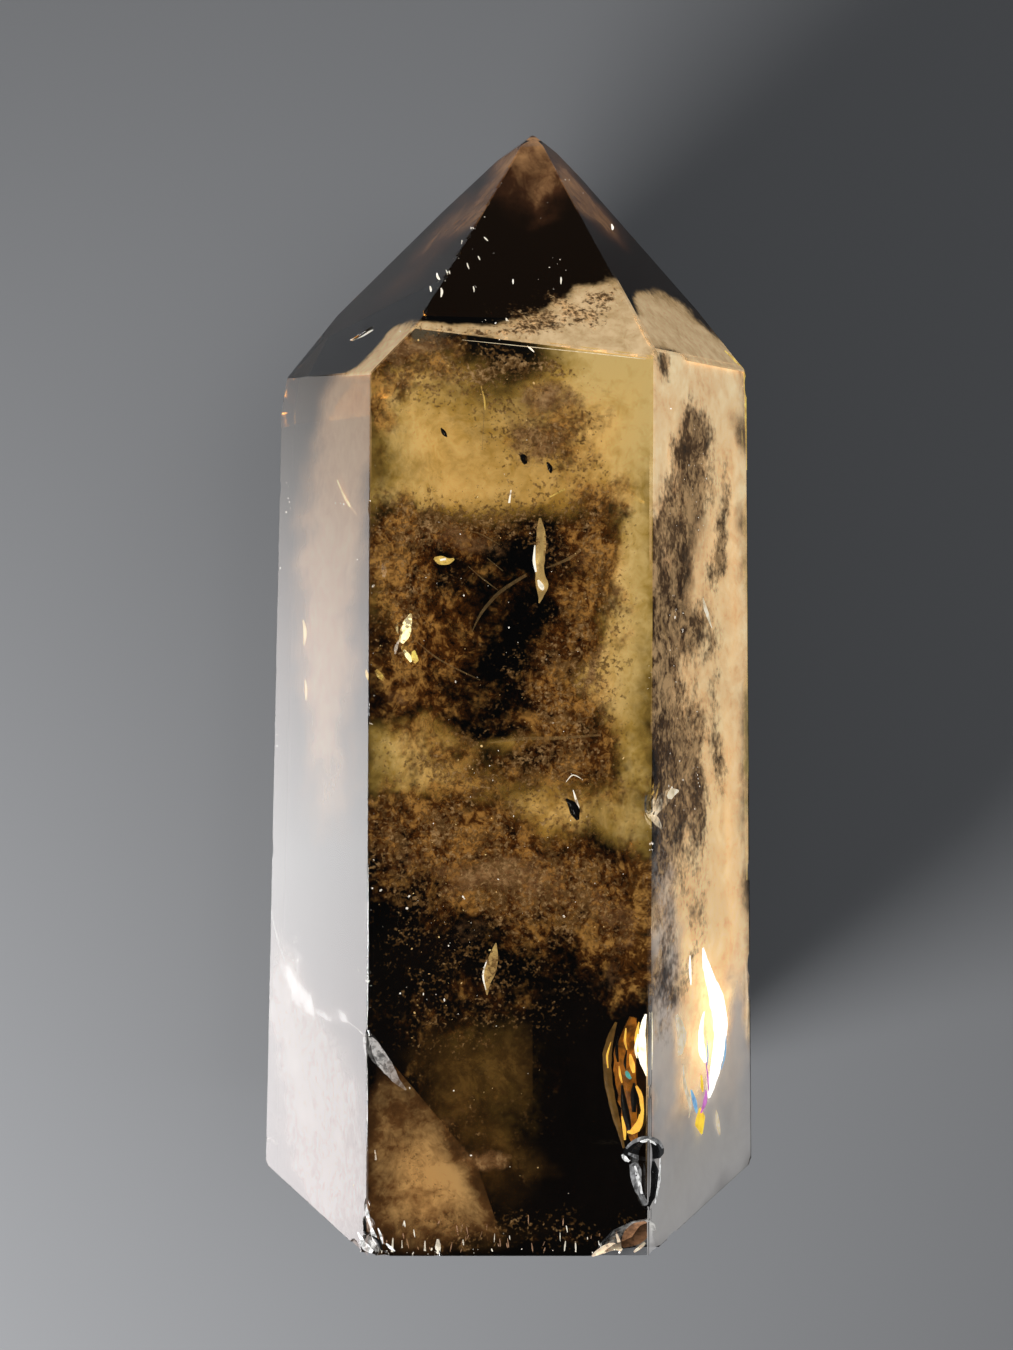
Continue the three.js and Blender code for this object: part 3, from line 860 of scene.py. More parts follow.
# The colours and patterns of the veils: dark, middle and light tone, then opacity, glow, size
# and tear of the patches, size and tear of the grain, softness, contrast of the grain, of the
# patches and of the density, shift of the pattern, and how it is stretched if it is.
VEIL_FINISHES = {
    "golden_cloud": (
        (0.15, 0.074, 0.007), (0.48, 0.295, 0.06), (0.8, 0.55, 0.195),
        0.97, 0.75, 300.0, 0.6, 1700.0, 0.25, 0.36, 1.6, 1.6, 2.0, 0.0,
    ),
    "brown_cloud": (
        (0.008, 0.0025, 0.0004), (0.104, 0.034, 0.0045), (0.55, 0.275, 0.066),
        0.92, 0.6, 420.0, 1.5, 2600.0, 0.6, 0.3, 3.4, 6.0, 0.4, 0.37,
    ),
    "pale_clumps": (
        (0.075, 0.032, 0.01), (0.25, 0.125, 0.047), (0.56, 0.34, 0.15),
        0.9, 0.6, 800.0, 1.3, 2800.0, 0.5, 0.3, 2.6, 3.0, 1.0, 0.83,
    ),
    "brown_speckle": (
        (0.08, 0.035, 0.008), (0.2, 0.1, 0.03), (0.7, 0.42, 0.18),
        0.8, 0.6, 600.0, 1.2, 4200.0, 1.6, 0.16, 4.0, 2.0, 1.0, 0.11,
    ),
    "right_cream_cloud": (
        (0.34, 0.2, 0.1), (0.84, 0.56, 0.29), (1.0, 0.8, 0.48),
        0.97, 0.92, 260.0, 0.9, 1500.0, 0.2, 0.36, 1.6, 2.6, 1.0, 0.21,
    ),
    # Painted light: grey tones for the bright floor seen through the lower part of the upper right face.
    "right_grey_painted_light": (
        (0.3, 0.285, 0.275), (0.4, 0.385, 0.38), (0.46, 0.45, 0.44),
        0.9, 0.8, 120.0, 0.4, 900.0, 0.0, 0.4, 0.8, 2.0, 1.0, 0.31,
    ),
    "right_dark_streak": (
        (0.006, 0.0025, 0.0008), (0.082, 0.04, 0.014), (0.66, 0.42, 0.2),
        0.96, 0.62, 300.0, 1.7, 2400.0, 0.6, 0.36, 2.8, 4.8, 1.0, 0.53, (1.0, 0.95, 1.0),
    ),
    "left_peach_cloud": (
        (0.42, 0.25, 0.13), (0.62, 0.37, 0.19), (0.74, 0.5, 0.29),
        0.85, 0.5, 200.0, 0.7, 1400.0, 0.1, 0.4, 1.4, 2.0, 1.0, 0.77,
    ),
    "left_crack_rough": (
        (0.4, 0.38, 0.37), (0.6, 0.58, 0.57), (0.86, 0.84, 0.83),
        0.75, 0.8, 700.0, 0.7, 2200.0, 0.5, 0.3, 2.6, 2.4, 1.0, 0.23, (1.0, 0.6, 0.6),
    ),
    "end_tan_cloud": (
        (0.17, 0.095, 0.036), (0.6, 0.39, 0.175), (1.0, 0.72, 0.4),
        0.97, 0.75, 420.0, 0.6, 2600.0, 0.3, 0.2, 1.4, 2.2, 1.4, 0.91,
    ),
    "end_speckle": (
        (0.012, 0.005, 0.001), (0.12, 0.058, 0.019), (0.78, 0.52, 0.25),
        0.95, 0.7, 700.0, 1.2, 3600.0, 1.2, 0.2, 5.0, 2.0, 1.0, 0.29,
    ),
    "tip_red_haze": (
        (0.024, 0.008, 0.003), (0.135, 0.05, 0.019), (0.62, 0.32, 0.13),
        0.85, 0.65, 330.0, 0.5, 1800.0, 0.14, 0.45, 0.9, 2.2, 1.6, 0.15, (1.0, 0.5, 1.0),
    ),
    # Painted shade: the near-black tones of the sheet below the base end of the top face.
    "base_painted_shade": (
        (0.002, 0.001, 0.0005), (0.004, 0.0024, 0.0012), (0.01, 0.006, 0.004),
        0.97, 0.3, 200.0, 0.3, 1200.0, 0.05, 0.4, 0.6, 2.0, 1.0, 0.07,
    ),
    "crack_brown": (
        (0.035, 0.013, 0.003), (0.21, 0.088, 0.024), (0.76, 0.43, 0.15),
        0.95, 0.62, 300.0, 0.5, 2200.0, 0.2, 0.42, 1.4, 2.6, 2.2, 0.63,
    ),
    "crack_pale": (
        (0.16, 0.12, 0.1), (0.34, 0.27, 0.24), (0.8, 0.76, 0.72),
        0.8, 0.5, 260.0, 0.5, 1800.0, 0.2, 0.36, 1.4, 1.6, 0.6, 0.43,
    ),
    "lower_haze": (
        (0.01, 0.005, 0.001), (0.075, 0.035, 0.007), (0.24, 0.125, 0.028),
        0.95, 0.62, 340.0, 0.6, 1800.0, 0.1, 0.42, 1.2, 3.0, 0.6, 0.51,
    ),
}

# A healed, shell-shaped crack cuts off the corner between the top face, the upper left face and
# the cut base. It dips below the top face from a curved border, here as two straight parts.
CRACK_BORDER = (
    ((-8.10, 12.60), (-1.90, 5.30)),
    ((-1.90, 5.30), (0.10, -0.50)),
)
# A smooth brown haze beside it ends abruptly at the right.
HAZE_BORDER = (((1.33, 20.0), (1.33, 0.0)),)

# Each veil in millimetres: face, finish, depth, where it starts and ends along the face, height
# of its waves, seed, depth at its rim, and what else is set.
VEILS = (
    ("golden_cloud", top, "golden_cloud", 5.5, -2.0, 56.0, 1.4, 3.1, 0.2, {}),
    ("brown_cloud", top, "brown_cloud", 3.6, -2.0, 56.0, 1.4, 12.9, 0.15, {}),
    ("pale_clumps", top, "pale_clumps", 2.5, -2.0, 56.0, 1.0, 17.3, 0.12, {}),
    ("brown_speckle", top, "brown_speckle", 1.2, -2.0, 56.0, 0.8, 7.7, 0.1, {}),
    ("right_cream_cloud", right, "right_cream_cloud", 2.6, -3.0, 56.0, 1.0, 21.3, 0.3, {"overlap": 0.12}),
    # The next sheet is painted light, the bright floor seen through the crystal.
    ("right_grey_painted_light", right, "right_grey_painted_light", 1.4, -3.0, 30.0, 0.5, 27.7, 0.22, {}),
    ("right_dark_streak", right, "right_dark_streak", 0.9, -1.0, 56.0, 0.5, 33.3, 0.15, {}),
    ("left_peach_cloud", left, "left_peach_cloud", 1.2, 14.0, 56.0, 0.5, 44.1, 0.2, {}),
    ("left_crack_rough", left, "left_crack_rough", 0.4, 4.0, 24.0, 0.2, 47.0, 0.2, {"step": 0.25}),
    # The next sheet is painted shade, the shaded floor seen through the crystal.
    ("base_painted_shade", top, "base_painted_shade", 7.0, -2.0, 24.0, 0.3, 60.0, 0.4, {}),
    ("top_end_cloud", top_end, "end_tan_cloud", 1.4, -16.0, 2.0, 0.4, 51.0, 0.12,
     {"step": 0.3, "overlap": 0.15}),
    ("top_end_haze", top_end, "tip_red_haze", 0.8, -10.0, 16.0, 0.3, 71.0, 0.15, {"step": 0.3}),
    ("right_end_cloud", right_end, "end_tan_cloud", 1.4, -16.0, 2.0, 0.4, 53.0, 0.12,
     {"step": 0.3, "overlap": 0.06}),
    ("right_end_haze", right_end, "tip_red_haze", 0.8, -10.0, 16.0, 0.3, 73.0, 0.15, {"step": 0.3}),
    ("left_end_cloud", left_end, "end_tan_cloud", 1.4, -16.0, 2.0, 0.4, 55.0, 0.12,
     {"step": 0.3, "overlap": 0.06}),
    ("left_end_haze", left_end, "tip_red_haze", 0.8, -10.0, 16.0, 0.3, 75.0, 0.15, {"step": 0.3}),
    ("top_end_speckle", top_end, "end_speckle", 0.7, -16.0, 2.0, 0.2, 57.0, 0.1,
     {"step": 0.3, "overlap": 0.1}),
    ("worn_tip_haze", worn_tip, "tip_red_haze", 0.3, 10.0, 22.0, 0.05, 71.0, 0.12, {"step": 0.2}),
    ("corner_crack", top, "crack_brown", 1.9, -2.0, 16.0, 0.3, 61.0, 0.12,
     {"step": 0.35, "rim": 4.0, "borders": CRACK_BORDER}),
    ("corner_crack_pale", left, "crack_pale", 1.6, -2.0, 24.0, 0.3, 63.0, 0.15, {"rim": 4.0}),
    ("lower_haze", top, "lower_haze", 2.2, -2.0, 22.0, 0.4, 65.0, 0.3, {"borders": HAZE_BORDER}),
    ("lower_spread", top, "lower_haze", 2.7, -2.0, 16.0, 0.3, 68.0, 0.3, {}),
)


def make_veils():
    finishes = {name: veil_material(name, *values) for name, values in VEIL_FINISHES.items()}
    for name, face, finish, depth, run_low, run_high, wave, seed, rim_depth, more in VEILS:
        face_veil(name, face, finishes[finish], depth, run_low, run_high, wave, seed, rim_depth, **more)


# ---- Cracks, flakes and specks ----
#
# A stroke is a row of places seen from above, in millimetres: x, distance from the cut base and
# half width.

ROWS_PER_PART = 4
AHEAD = 0.02                      # share of a stroke over which its direction is taken
RAGGED_SCALE, RAGGED_REACH = 2.3, 0.25
FLAKE_COLUMNS, FLAKE_THINNEST, FLAKE_CURL = 4, 0.008, 0.6
MARK_COLUMNS, MARK_THINNEST = 8, 0.01
SPECK_SPREAD = 1.2                # how far specks reach past their ellipses
SPECK_RARITY = 3                  # the higher, the fewer large specks
SPECK_SCALES = ((0.6, 1.3), (0.6, 1.6), (0.4, 1.0))
SPECK_TURN = 3                    # radians
# Ranges of the streaks at the base: place across, length, half width and lean.
STREAK_ACROSS, STREAK_LENGTH, STREAK_HALF, STREAK_LEAN = (-7.7, 6.2), (0.15, 0.6), (0.015, 0.045), 0.12
STREAK_LOWEST, STREAK_SPREAD, STREAK_CROWDING, STREAK_TAPER = 0.15, 1.7, 1.6, 0.4


def join_pieces(pieces, name, material):
    """Joins small pieces into one and settles it."""
    deselect_all()
    for piece in pieces:
        piece.select_set(True)
    bpy.context.view_layer.objects.active = pieces[0]
    bpy.ops.object.join()
    joined = bpy.context.object
    joined.name = name
    joined.visible_glossy = False
    joined.visible_shadow = False
    return settle(joined, material)


def between(stroke, share):
    """A place on a stroke, rounded through its points: x, along and half width."""
    last = len(stroke) - 1
    spot = share * last
    index = min(int(spot), last - 1)
    part = spot - index
    ends = [Vector(stroke[max(0, min(last, index + step))]) for step in (-1, 0, 1, 2)]
    before, start, finish, after = ends
    return 0.5 * (
        2 * start + (finish - before) * part
        + (2 * before - 5 * start + 4 * finish - after) * part ** 2
        + (3 * start - before - 3 * finish + after) * part ** 3
    )


def strip_along(stroke, columns, thinnest):
    """A grid for a stroke, and for each of its vertices the place seen from above, the half width
    and the side, from -1 to 1."""
    strip = add_grid(columns, ROWS_PER_PART * (len(stroke) - 1))
    spots = []
    for vertex in strip.data.vertices:
        share, side = vertex.co.y + 0.5, vertex.co.x * 2
        spot = between(stroke, share)
        ahead = between(stroke, min(1.0, share + AHEAD)) - between(stroke, max(0.0, share - AHEAD))
        aside = Vector((ahead.y, -ahead.x)).normalized() * max(thinnest, spot.z)
        spots.append((vertex, spot.x + aside.x * side, spot.y + aside.y * side, spot.z, side))
    return strip, spots


def flakes(name, face, depth, strokes, material):
    """Thin flakes inside the crystal, curled a little and with ragged borders. Some of them are painted
    highlights, reflection and shade.
    """
    pieces = []
    for stroke in strokes:
        flake, spots = strip_along(stroke, FLAKE_COLUMNS, FLAKE_THINNEST)
        for vertex, x, along, half, side in spots:
            x, along = strayed(x, along, depth, ((RAGGED_SCALE, RAGGED_REACH * half, 0.0),))
            across, run = face.seen_from_above(x, along)
            vertex.co = face.below(across, run, depth + FLAKE_CURL * half * side * side)
        bpy.ops.object.shade_smooth()
        pieces.append(flake)
    return join_pieces(pieces, name, material)


def surface_marks(name, crystal, strokes, lift, material):
    """Marks that lie on the crystal's own surface, chips included, where the camera sees them. Some paint
    the highlights, reflection and shade of the chips.
    """
    pieces = []
    for stroke in strokes:
        mark, spots = strip_along(stroke, MARK_COLUMNS, MARK_THINNEST)
        for vertex, x, along, _, _ in spots:
            start = top.point(*top.seen_from_above(x, along))
            aim = (start - camera_place).normalized()
            found, place, normal, _ = crystal.ray_cast(camera_place, aim)
            vertex.co = place + normal * (lift * MM) if found else start
        pieces.append(mark)
    return join_pieces(pieces, name, material)


def specks(name, face, blobs, count, smallest, largest, shallow, deep, seed, material):
    """Tiny bright specks strewn through clouds of a face."""
    draw = random.Random(seed)
    weights = [blob[2] * blob[3] * blob[5] for blob in blobs]
    pieces = []
    for _ in range(count):
        centre_x, centre_along, half_width, half_length, turn, _ = draw.choices(blobs, weights)[0]
        reach, around = math.sqrt(draw.random()) * SPECK_SPREAD, draw.uniform(0.0, math.tau)
        aside, ahead = reach * math.cos(around) * half_width, reach * math.sin(around) * half_length
        cosine, sine = math.cos(math.radians(turn)), math.sin(math.radians(turn))
        across, run = face.seen_from_above(centre_x + aside * cosine - ahead * sine,
                                           centre_along + aside * sine + ahead * cosine)
        size = smallest + (largest - smallest) * draw.random() ** SPECK_RARITY
        place = face.below(across, run, draw.uniform(shallow, deep))
        bpy.ops.mesh.primitive_ico_sphere_add(subdivisions=1, radius=size * MM, location=place)
        speck = bpy.context.object
        speck.scale = [draw.uniform(least, most) for least, most in SPECK_SCALES]
        speck.rotation_euler = [draw.uniform(0, SPECK_TURN) for _ in range(3)]
        bpy.ops.object.transform_apply(location=True, rotation=True, scale=True)
        pieces.append(speck)
    return join_pieces(pieces, name, material)


def base_streaks(count, seed):
    """Short bright streaks along the chipped rim of the cut base."""
    draw = random.Random(seed)
    strokes = []
    for _ in range(count):
        x = draw.uniform(*STREAK_ACROSS)
        along = STREAK_LOWEST + STREAK_SPREAD * draw.random() ** STREAK_CROWDING
        length, half = draw.uniform(*STREAK_LENGTH), draw.uniform(*STREAK_HALF)
        lean = draw.uniform(-STREAK_LEAN, STREAK_LEAN)
        strokes.append([
            (x, along, half * STREAK_TAPER),
            (x + lean / 2, along + length / 2, half),
            (x + lean, along + length, half * STREAK_TAPER),
        ])
    return strokes


STROKES = {
    "needles": [
        [(1.77, 42.32, 0.06), (1.83, 41.62, 0.23), (1.83, 40.46, 0.29), (1.77, 39.3, 0.26),
         (1.89, 38.43, 0.35), (1.83, 37.86, 0.17), (1.71, 37.39, 0.03)],
        [(-0.77, 17.83, 0.03), (-0.88, 17.14, 0.23), (-1.11, 16.28, 0.34), (-1.28, 15.43, 0.17),
         (-1.28, 14.86, 0.03)],
    ],
    # Painted highlights along the lit left side of the needles.
    "needle_highlights": [
        [(1.48, 40.75, 0.03), (1.43, 39.88, 0.08), (1.54, 39.19, 0.05)],
        [(1.66, 38.72, 0.05), (1.83, 38.38, 0.15), (1.95, 38.14, 0.05)],
        [(-1.29, 16.86, 0.02), (-1.51, 16.0, 0.05), (-1.34, 15.14, 0.02)],
    ],
    "gold_flakes": [
        [(-4.36, 40.0, 0.06), (-4.01, 39.88, 0.23), (-3.55, 39.82, 0.17), (-3.2, 39.94, 0.06)],
        [(-6.14, 34.96, 0.17), (-5.74, 34.39, 0.35), (-5.33, 33.98, 0.14)],
        [(-7.7, 33.52, 0.09), (-7.47, 33.23, 0.17), (-7.24, 32.94, 0.09)],
        [(6.7, 43.83, 0.06), (7.22, 43.54, 0.14), (7.8, 43.19, 0.09)],
        [(2.35, 43.54, 0.03), (3.22, 44.0, 0.06)],
        [(-1.64, 50.0, 0.02), (-1.47, 49.3, 0.05), (-1.41, 48.6, 0.02)],
        [(7.81, 26.03, 0.06), (8.39, 26.95, 0.09)],
        [(-6.14, 34.1, 0.06), (-5.97, 34.39, 0.17)],
    ],
    # White flakes. Some are painted highlights: on some of the gold flakes, and on the lit right side of a
    # small pit.
    "white_flakes_and_highlights": [
        [(-6.38, 35.25, 0.03), (-6.55, 34.79, 0.1), (-6.6, 34.44, 0.03)],
        [(-7.31, 39.71, 0.06), (-7.25, 39.25, 0.17), (-7.25, 38.9, 0.07)],
        [(0.1, 43.95, 0.03), (-0.02, 43.19, 0.06)],
        [(6.87, 43.71, 0.03), (7.22, 43.54, 0.06)],
        [(1.03, 52.33, 0.02), (1.26, 52.16, 0.05), (1.43, 51.98, 0.02)],
        [(-4.01, 39.88, 0.05), (-3.66, 39.94, 0.06)],
        [(3.67, 26.6, 0.02), (3.84, 26.03, 0.07), (3.95, 25.57, 0.08), (4.01, 25.11, 0.03)],
        [(3.26, 27.06, 0.01), (3.67, 27.47, 0.03), (4.24, 27.18, 0.01)],
    ],
    "sun_flakes": [
        [(-5.68, 36.76, 0.06), (-5.91, 36.18, 0.26), (-6.03, 35.6, 0.29), (-6.26, 35.08, 0.13)],
        [(-6.09, 34.67, 0.06), (-5.85, 34.33, 0.15), (-5.68, 33.98, 0.05)],
        [(-6.44, 36.29, 0.02), (-6.49, 35.95, 0.07), (-6.43, 35.6, 0.02)],
    ],
    "crack_lines": [
        [(-2.16, 35.71, 0.02), (-1.58, 36.87, 0.08), (-0.54, 38.03, 0.1), (0.96, 39.01, 0.09)],
        [(2.12, 39.42, 0.03), (3.28, 39.88, 0.08), (4.44, 40.64, 0.03)],
        [(-2.39, 39.53, 0.02), (-1.52, 38.78, 0.04), (-0.66, 38.14, 0.02)],
        [(-3.15, 41.62, 0.02), (-1.81, 41.45, 0.03), (-0.54, 40.75, 0.02)],
        [(-1.29, 40.0, 0.02), (-0.37, 39.25, 0.03)],
        [(-1.12, 29.31, 0.03), (0.61, 29.54, 0.09), (2.92, 29.6, 0.09), (5.23, 29.77, 0.05)],
        [(-5.45, 35.25, 0.03), (-4.01, 34.1, 0.05), (-1.69, 32.94, 0.03)],
        [(8.42, 37.57, 0.03), (9.16, 35.25, 0.05)],
        [(-1.7, 50.35, 0.03), (-1.47, 48.6, 0.05), (-1.58, 46.27, 0.03)],
        [(2.92, 27.47, 0.03), (3.61, 27.75, 0.05), (4.36, 27.41, 0.03)],
    ],
    # Dark flakes. The first is painted shade, the shaded left side of that small pit.
    "dark_flakes_and_shade": [
        [(3.26, 26.09, 0.06), (3.61, 25.74, 0.23), (3.78, 25.34, 0.29), (3.95, 24.88, 0.09)],
        [(-3.96, 47.55, 0.03), (-3.79, 47.26, 0.13), (-3.61, 47.03, 0.03)],
        [(0.62, 46.1, 0.06), (0.85, 45.75, 0.21), (0.96, 45.46, 0.09)],
        [(2.18, 45.57, 0.05), (2.36, 45.22, 0.14), (2.41, 44.93, 0.05)],
    ],
    "crack_rim_white": [
        [(-8.23, 12.63, 0.23), (-7.77, 11.83, 0.46), (-7.08, 10.81, 0.37), (-6.5, 10.01, 0.2),
         (-5.93, 9.44, 0.05)],
    ],
    "left_crack_line": [
        [(-16.43, 18.57, 0.02), (-16.02, 17.0, 0.03), (-15.53, 15.68, 0.04), (-14.78, 14.3, 0.03)],
        [(-9.77, 12.71, 0.02), (-8.96, 12.61, 0.04), (-8.17, 12.39, 0.03)],
    ],
    "right_rim": [
        [(14.42, 54.63, 0.04), (15.55, 54.3, 0.11), (16.03, 53.27, 0.15), (16.12, 50.57, 0.1),
         (16.21, 47.19, 0.05)],
    ],
    "right_edge_glow": [
        [(15.73, 49.77, 0.07), (16.01, 43.74, 0.24), (16.09, 35.6, 0.31), (16.07, 27.47, 0.24),
         (16.14, 19.33, 0.07)],
    ],
    # The flame: an air-gap crack near the base. Its amber, gold and white strokes are painted reflection of
    # the lamplight that the crack mirrors.
    "flame_rim": [
        [(6.12, 13.31, 0.06), (5.77, 12.29, 0.2), (5.6, 11.15, 0.26), (5.71, 9.72, 0.23), (6.0, 8.3, 0.2),
         (6.34, 7.05, 0.14), (6.56, 6.14, 0.06)],
    ],
    "flame_dark": [
        [(6.46, 9.72, 0.06), (6.57, 8.59, 0.19), (6.8, 7.62, 0.18), (6.91, 6.94, 0.06)],
        [(7.15, 9.84, 0.06), (7.14, 9.15, 0.19), (7.14, 8.19, 0.14)],
        [(6.23, 12.52, 0.03), (6.17, 11.72, 0.1), (6.23, 11.03, 0.05)],
        [(6.75, 11.83, 0.02), (6.63, 11.03, 0.08), (6.69, 10.58, 0.02)],
    ],
    "flame_reflection_amber": [
        [(7.15, 13.6, 0.23), (7.04, 12.29, 0.75), (6.97, 10.58, 0.97), (7.09, 8.87, 0.86),
         (7.31, 7.16, 0.63), (7.54, 6.03, 0.23)],
    ],
    "flame_reflection_gold": [
        [(5.83, 12.17, 0.02), (5.6, 11.38, 0.06), (5.66, 10.69, 0.03)],
        [(6.45, 7.96, 0.03), (6.57, 7.28, 0.1), (6.62, 6.6, 0.05)],
        [(7.26, 9.67, 0.06), (7.54, 9.1, 0.15), (7.71, 8.3, 0.21), (7.54, 7.56, 0.26), (7.08, 7.11, 0.19),
         (6.74, 7.05, 0.05)],
        [(6.92, 11.49, 0.05), (7.03, 10.92, 0.16), (7.15, 10.41, 0.07)],
        [(6.29, 10.81, 0.03), (6.34, 10.29, 0.07), (6.46, 9.84, 0.03)],
        [(6.69, 12.97, 0.03), (6.63, 12.29, 0.07), (6.75, 11.72, 0.03)],
        [(7.44, 13.31, 0.03), (7.27, 12.4, 0.11), (7.38, 11.6, 0.06)],
        [(7.77, 6.82, 0.03), (7.88, 7.39, 0.07), (7.94, 8.07, 0.02)],
    ],
    "flame_reflection_white": [
        [(7.84, 13.77, 0.05), (7.67, 12.86, 0.22), (7.67, 11.72, 0.32), (7.78, 10.92, 0.25),
         (7.89, 10.24, 0.05)],
        [(7.38, 12.63, 0.03), (7.26, 11.83, 0.08), (7.32, 11.26, 0.02)],
        [(8.07, 13.88, 0.03), (8.07, 12.29, 0.07), (8.06, 10.58, 0.03)],
    ],
    "flame_teal": [
        [(6.69, 10.52, 0.06), (6.8, 10.29, 0.14), (6.97, 10.07, 0.06)],
    ],
    # The flare: painted reflection of the lamplight in a crack below the upper right face, white where
    # brightest; its yellow, magenta and blue strokes are thin-film colours within that reflection.
    "flare_white": [
        [(12.14, 16.14, 0.05), (12.39, 14.98, 0.25), (12.9, 13.52, 0.41), (13.42, 12.03, 0.58),
         (13.68, 10.31, 0.58), (13.33, 8.55, 0.51), (12.89, 7.19, 0.35), (12.63, 6.51, 0.09)],
        [(12.22, 12.11, 0.06), (11.96, 11.1, 0.19), (12.04, 9.81, 0.24), (12.38, 8.9, 0.09)],
        [(11.07, 16.08, 0.02), (11.07, 15.29, 0.09), (11.15, 14.22, 0.03)],
        [(8.85, 13.91, 0.05), (9.0, 13.62, 0.09)],
    ],
    "flare_cream": [
        [(10.51, 9.65, 0.04), (10.66, 8.36, 0.12), (11.06, 6.94, 0.12), (10.97, 6.19, 0.03)],
        [(9.97, 12.9, 0.12), (10.43, 11.49, 0.36), (10.27, 10.37, 0.18)],
        [(13.23, 5.41, 0.04), (13.41, 4.42, 0.15), (13.58, 3.61, 0.04)],
        [(15.93, 13.99, 0.07), (16.12, 11.22, 0.14), (16.02, 8.57, 0.07)],
    ],
    "flare_yellow": [
        [(11.96, 8.3, 0.04), (12.04, 7.64, 0.11), (12.12, 7.16, 0.04)],
        [(11.87, 6.3, 0.06), (11.87, 5.62, 0.4), (11.95, 5.07, 0.25), (12.03, 4.59, 0.05)],
    ],
    "flare_magenta": [
        [(12.37, 7.15, 0.05), (12.29, 6.44, 0.18), (11.95, 5.94, 0.09)],
        [(12.38, 8.9, 0.03), (12.55, 7.68, 0.06), (12.63, 6.88, 0.04)],
    ],
    "flare_blue": [
        [(11.14, 7.81, 0.05), (11.46, 6.83, 0.15), (11.62, 6.13, 0.05)],
        [(14.13, 9.78, 0.03), (14.04, 8.52, 0.08), (13.68, 7.74, 0.03)],
        [(12.47, 10.24, 0.02), (12.55, 9.25, 0.06), (12.46, 8.61, 0.03)],
    ],
    "right_dart": [
        [(8.43, 25.12, 0.12), (8.94, 25.85, 0.41), (9.69, 26.21, 0.3), (10.22, 26.24, 0.05)],
        [(8.08, 25.42, 0.05), (8.5, 24.82, 0.2), (8.94, 24.21, 0.05)],
        [(12.18, 38.07, 0.03), (12.43, 37.34, 0.15), (12.95, 36.23, 0.03)],
    ],
    "left_sliver": [
        [(-10.13, 54.55, 0.05), (-9.31, 54.53, 0.16), (-8.46, 54.67, 0.05)],
        [(-3.14, 66.65, 0.03), (-2.86, 66.78, 0.08)],
    ],
    "ridge_line": [
        [(-2.74, 52.64, 0.01), (0.62, 52.31, 0.02), (4.67, 51.92, 0.03), (7.91, 51.58, 0.03)],
    ],
    "end_flecks": [
        [(-4.35, 57.64, 0.03), (-4.28, 57.34, 0.07), (-4.09, 57.04, 0.03)],
        [(-4.07, 56.29, 0.03), (-4.0, 55.99, 0.07), (-4.05, 55.62, 0.03)],
        [(-2.56, 58.24, 0.02), (-2.5, 58.01, 0.04), (-2.43, 57.78, 0.02)],
        [(-2.17, 56.5, 0.01), (-2.11, 56.28, 0.04), (-2.1, 56.05, 0.01)],
        [(-2.91, 60.27, 0.02), (-2.85, 60.04, 0.06), (-2.84, 59.8, 0.02)],
        [(-2.31, 61.26, 0.02), (-2.25, 61.1, 0.07), (-2.12, 60.95, 0.02)],
        [(-1.56, 60.32, 0.02), (-1.43, 60.17, 0.05), (-1.31, 60.01, 0.02)],
        [(0.23, 57.1, 0.02), (0.23, 56.95, 0.05), (0.23, 56.72, 0.02)],
        [(3.14, 57.35, 0.02), (3.13, 57.12, 0.05), (3.12, 56.82, 0.02)],
        [(-0.19, 54.2, 0.02), (-0.14, 54.06, 0.06), (-0.02, 53.99, 0.02)],
        [(6.5, 61.93, 0.03), (6.55, 61.68, 0.08), (6.54, 61.43, 0.03)],
        [(-3.76, 57.81, 0.02), (-3.63, 57.59, 0.04), (-3.57, 57.36, 0.02)],
        [(-1.9, 58.81, 0.02), (-1.84, 58.65, 0.04), (-1.78, 58.5, 0.02)],
        [(-4.73, 56.64, 0.02), (-4.67, 56.42, 0.06), (-4.66, 56.2, 0.02)],
    ],
    "left_gold": [
        [(-13.29, 36.78, 0.03), (-13.11, 35.99, 0.14), (-13.19, 35.16, 0.04)],
        [(-13.09, 32.91, 0.03), (-13.0, 32.27, 0.1), (-13.0, 31.63, 0.03)],
        [(-10.52, 45.14, 0.03), (-9.82, 43.76, 0.07), (-9.0, 42.68, 0.03)],
    ],
    "base_ticks": [
        [(-4.08, 0.98, 0.06), (-4.08, 0.53, 0.15), (-4.08, 0.02, 0.07)],
        [(-6.66, 1.04, 0.03), (-6.71, 0.24, 0.07)],
        [(-4.83, 0.87, 0.03), (-4.82, 0.3, 0.06)],
        [(-7.7, 6.03, 0.02), (-7.64, 5.46, 0.06)],
        [(-6.14, 0.92, 0.02), (-6.14, 0.47, 0.04)],
    ],
    # The tooth chip: its dark, grey and white strokes are painted shade, reflection and highlights on the
    # broken surfaces.
    "tooth_dark": [
        [(6.56, 5.86, 0.11), (7.14, 6.03, 0.52), (7.82, 6.03, 0.69), (8.4, 5.91, 0.57), (8.68, 5.69, 0.17)],
        [(8.05, 5.46, 0.23), (8.16, 4.61, 0.4), (8.1, 3.64, 0.31), (7.93, 2.79, 0.09)],
    ],
    "tooth_grey": [
        [(6.68, 6.14, 0.06), (7.14, 6.54, 0.1), (7.83, 6.71, 0.13), (8.46, 6.54, 0.1), (8.74, 6.14, 0.06)],
        [(7.02, 5.29, 0.17), (7.31, 4.61, 0.4), (7.53, 3.76, 0.34), (7.76, 2.85, 0.09)],
        [(6.79, 5.86, 0.06), (7.48, 5.57, 0.13), (8.34, 5.46, 0.06)],
    ],
    "tooth_white": [
        [(7.13, 5.12, 0.05), (7.31, 4.44, 0.11), (7.53, 3.53, 0.07)],
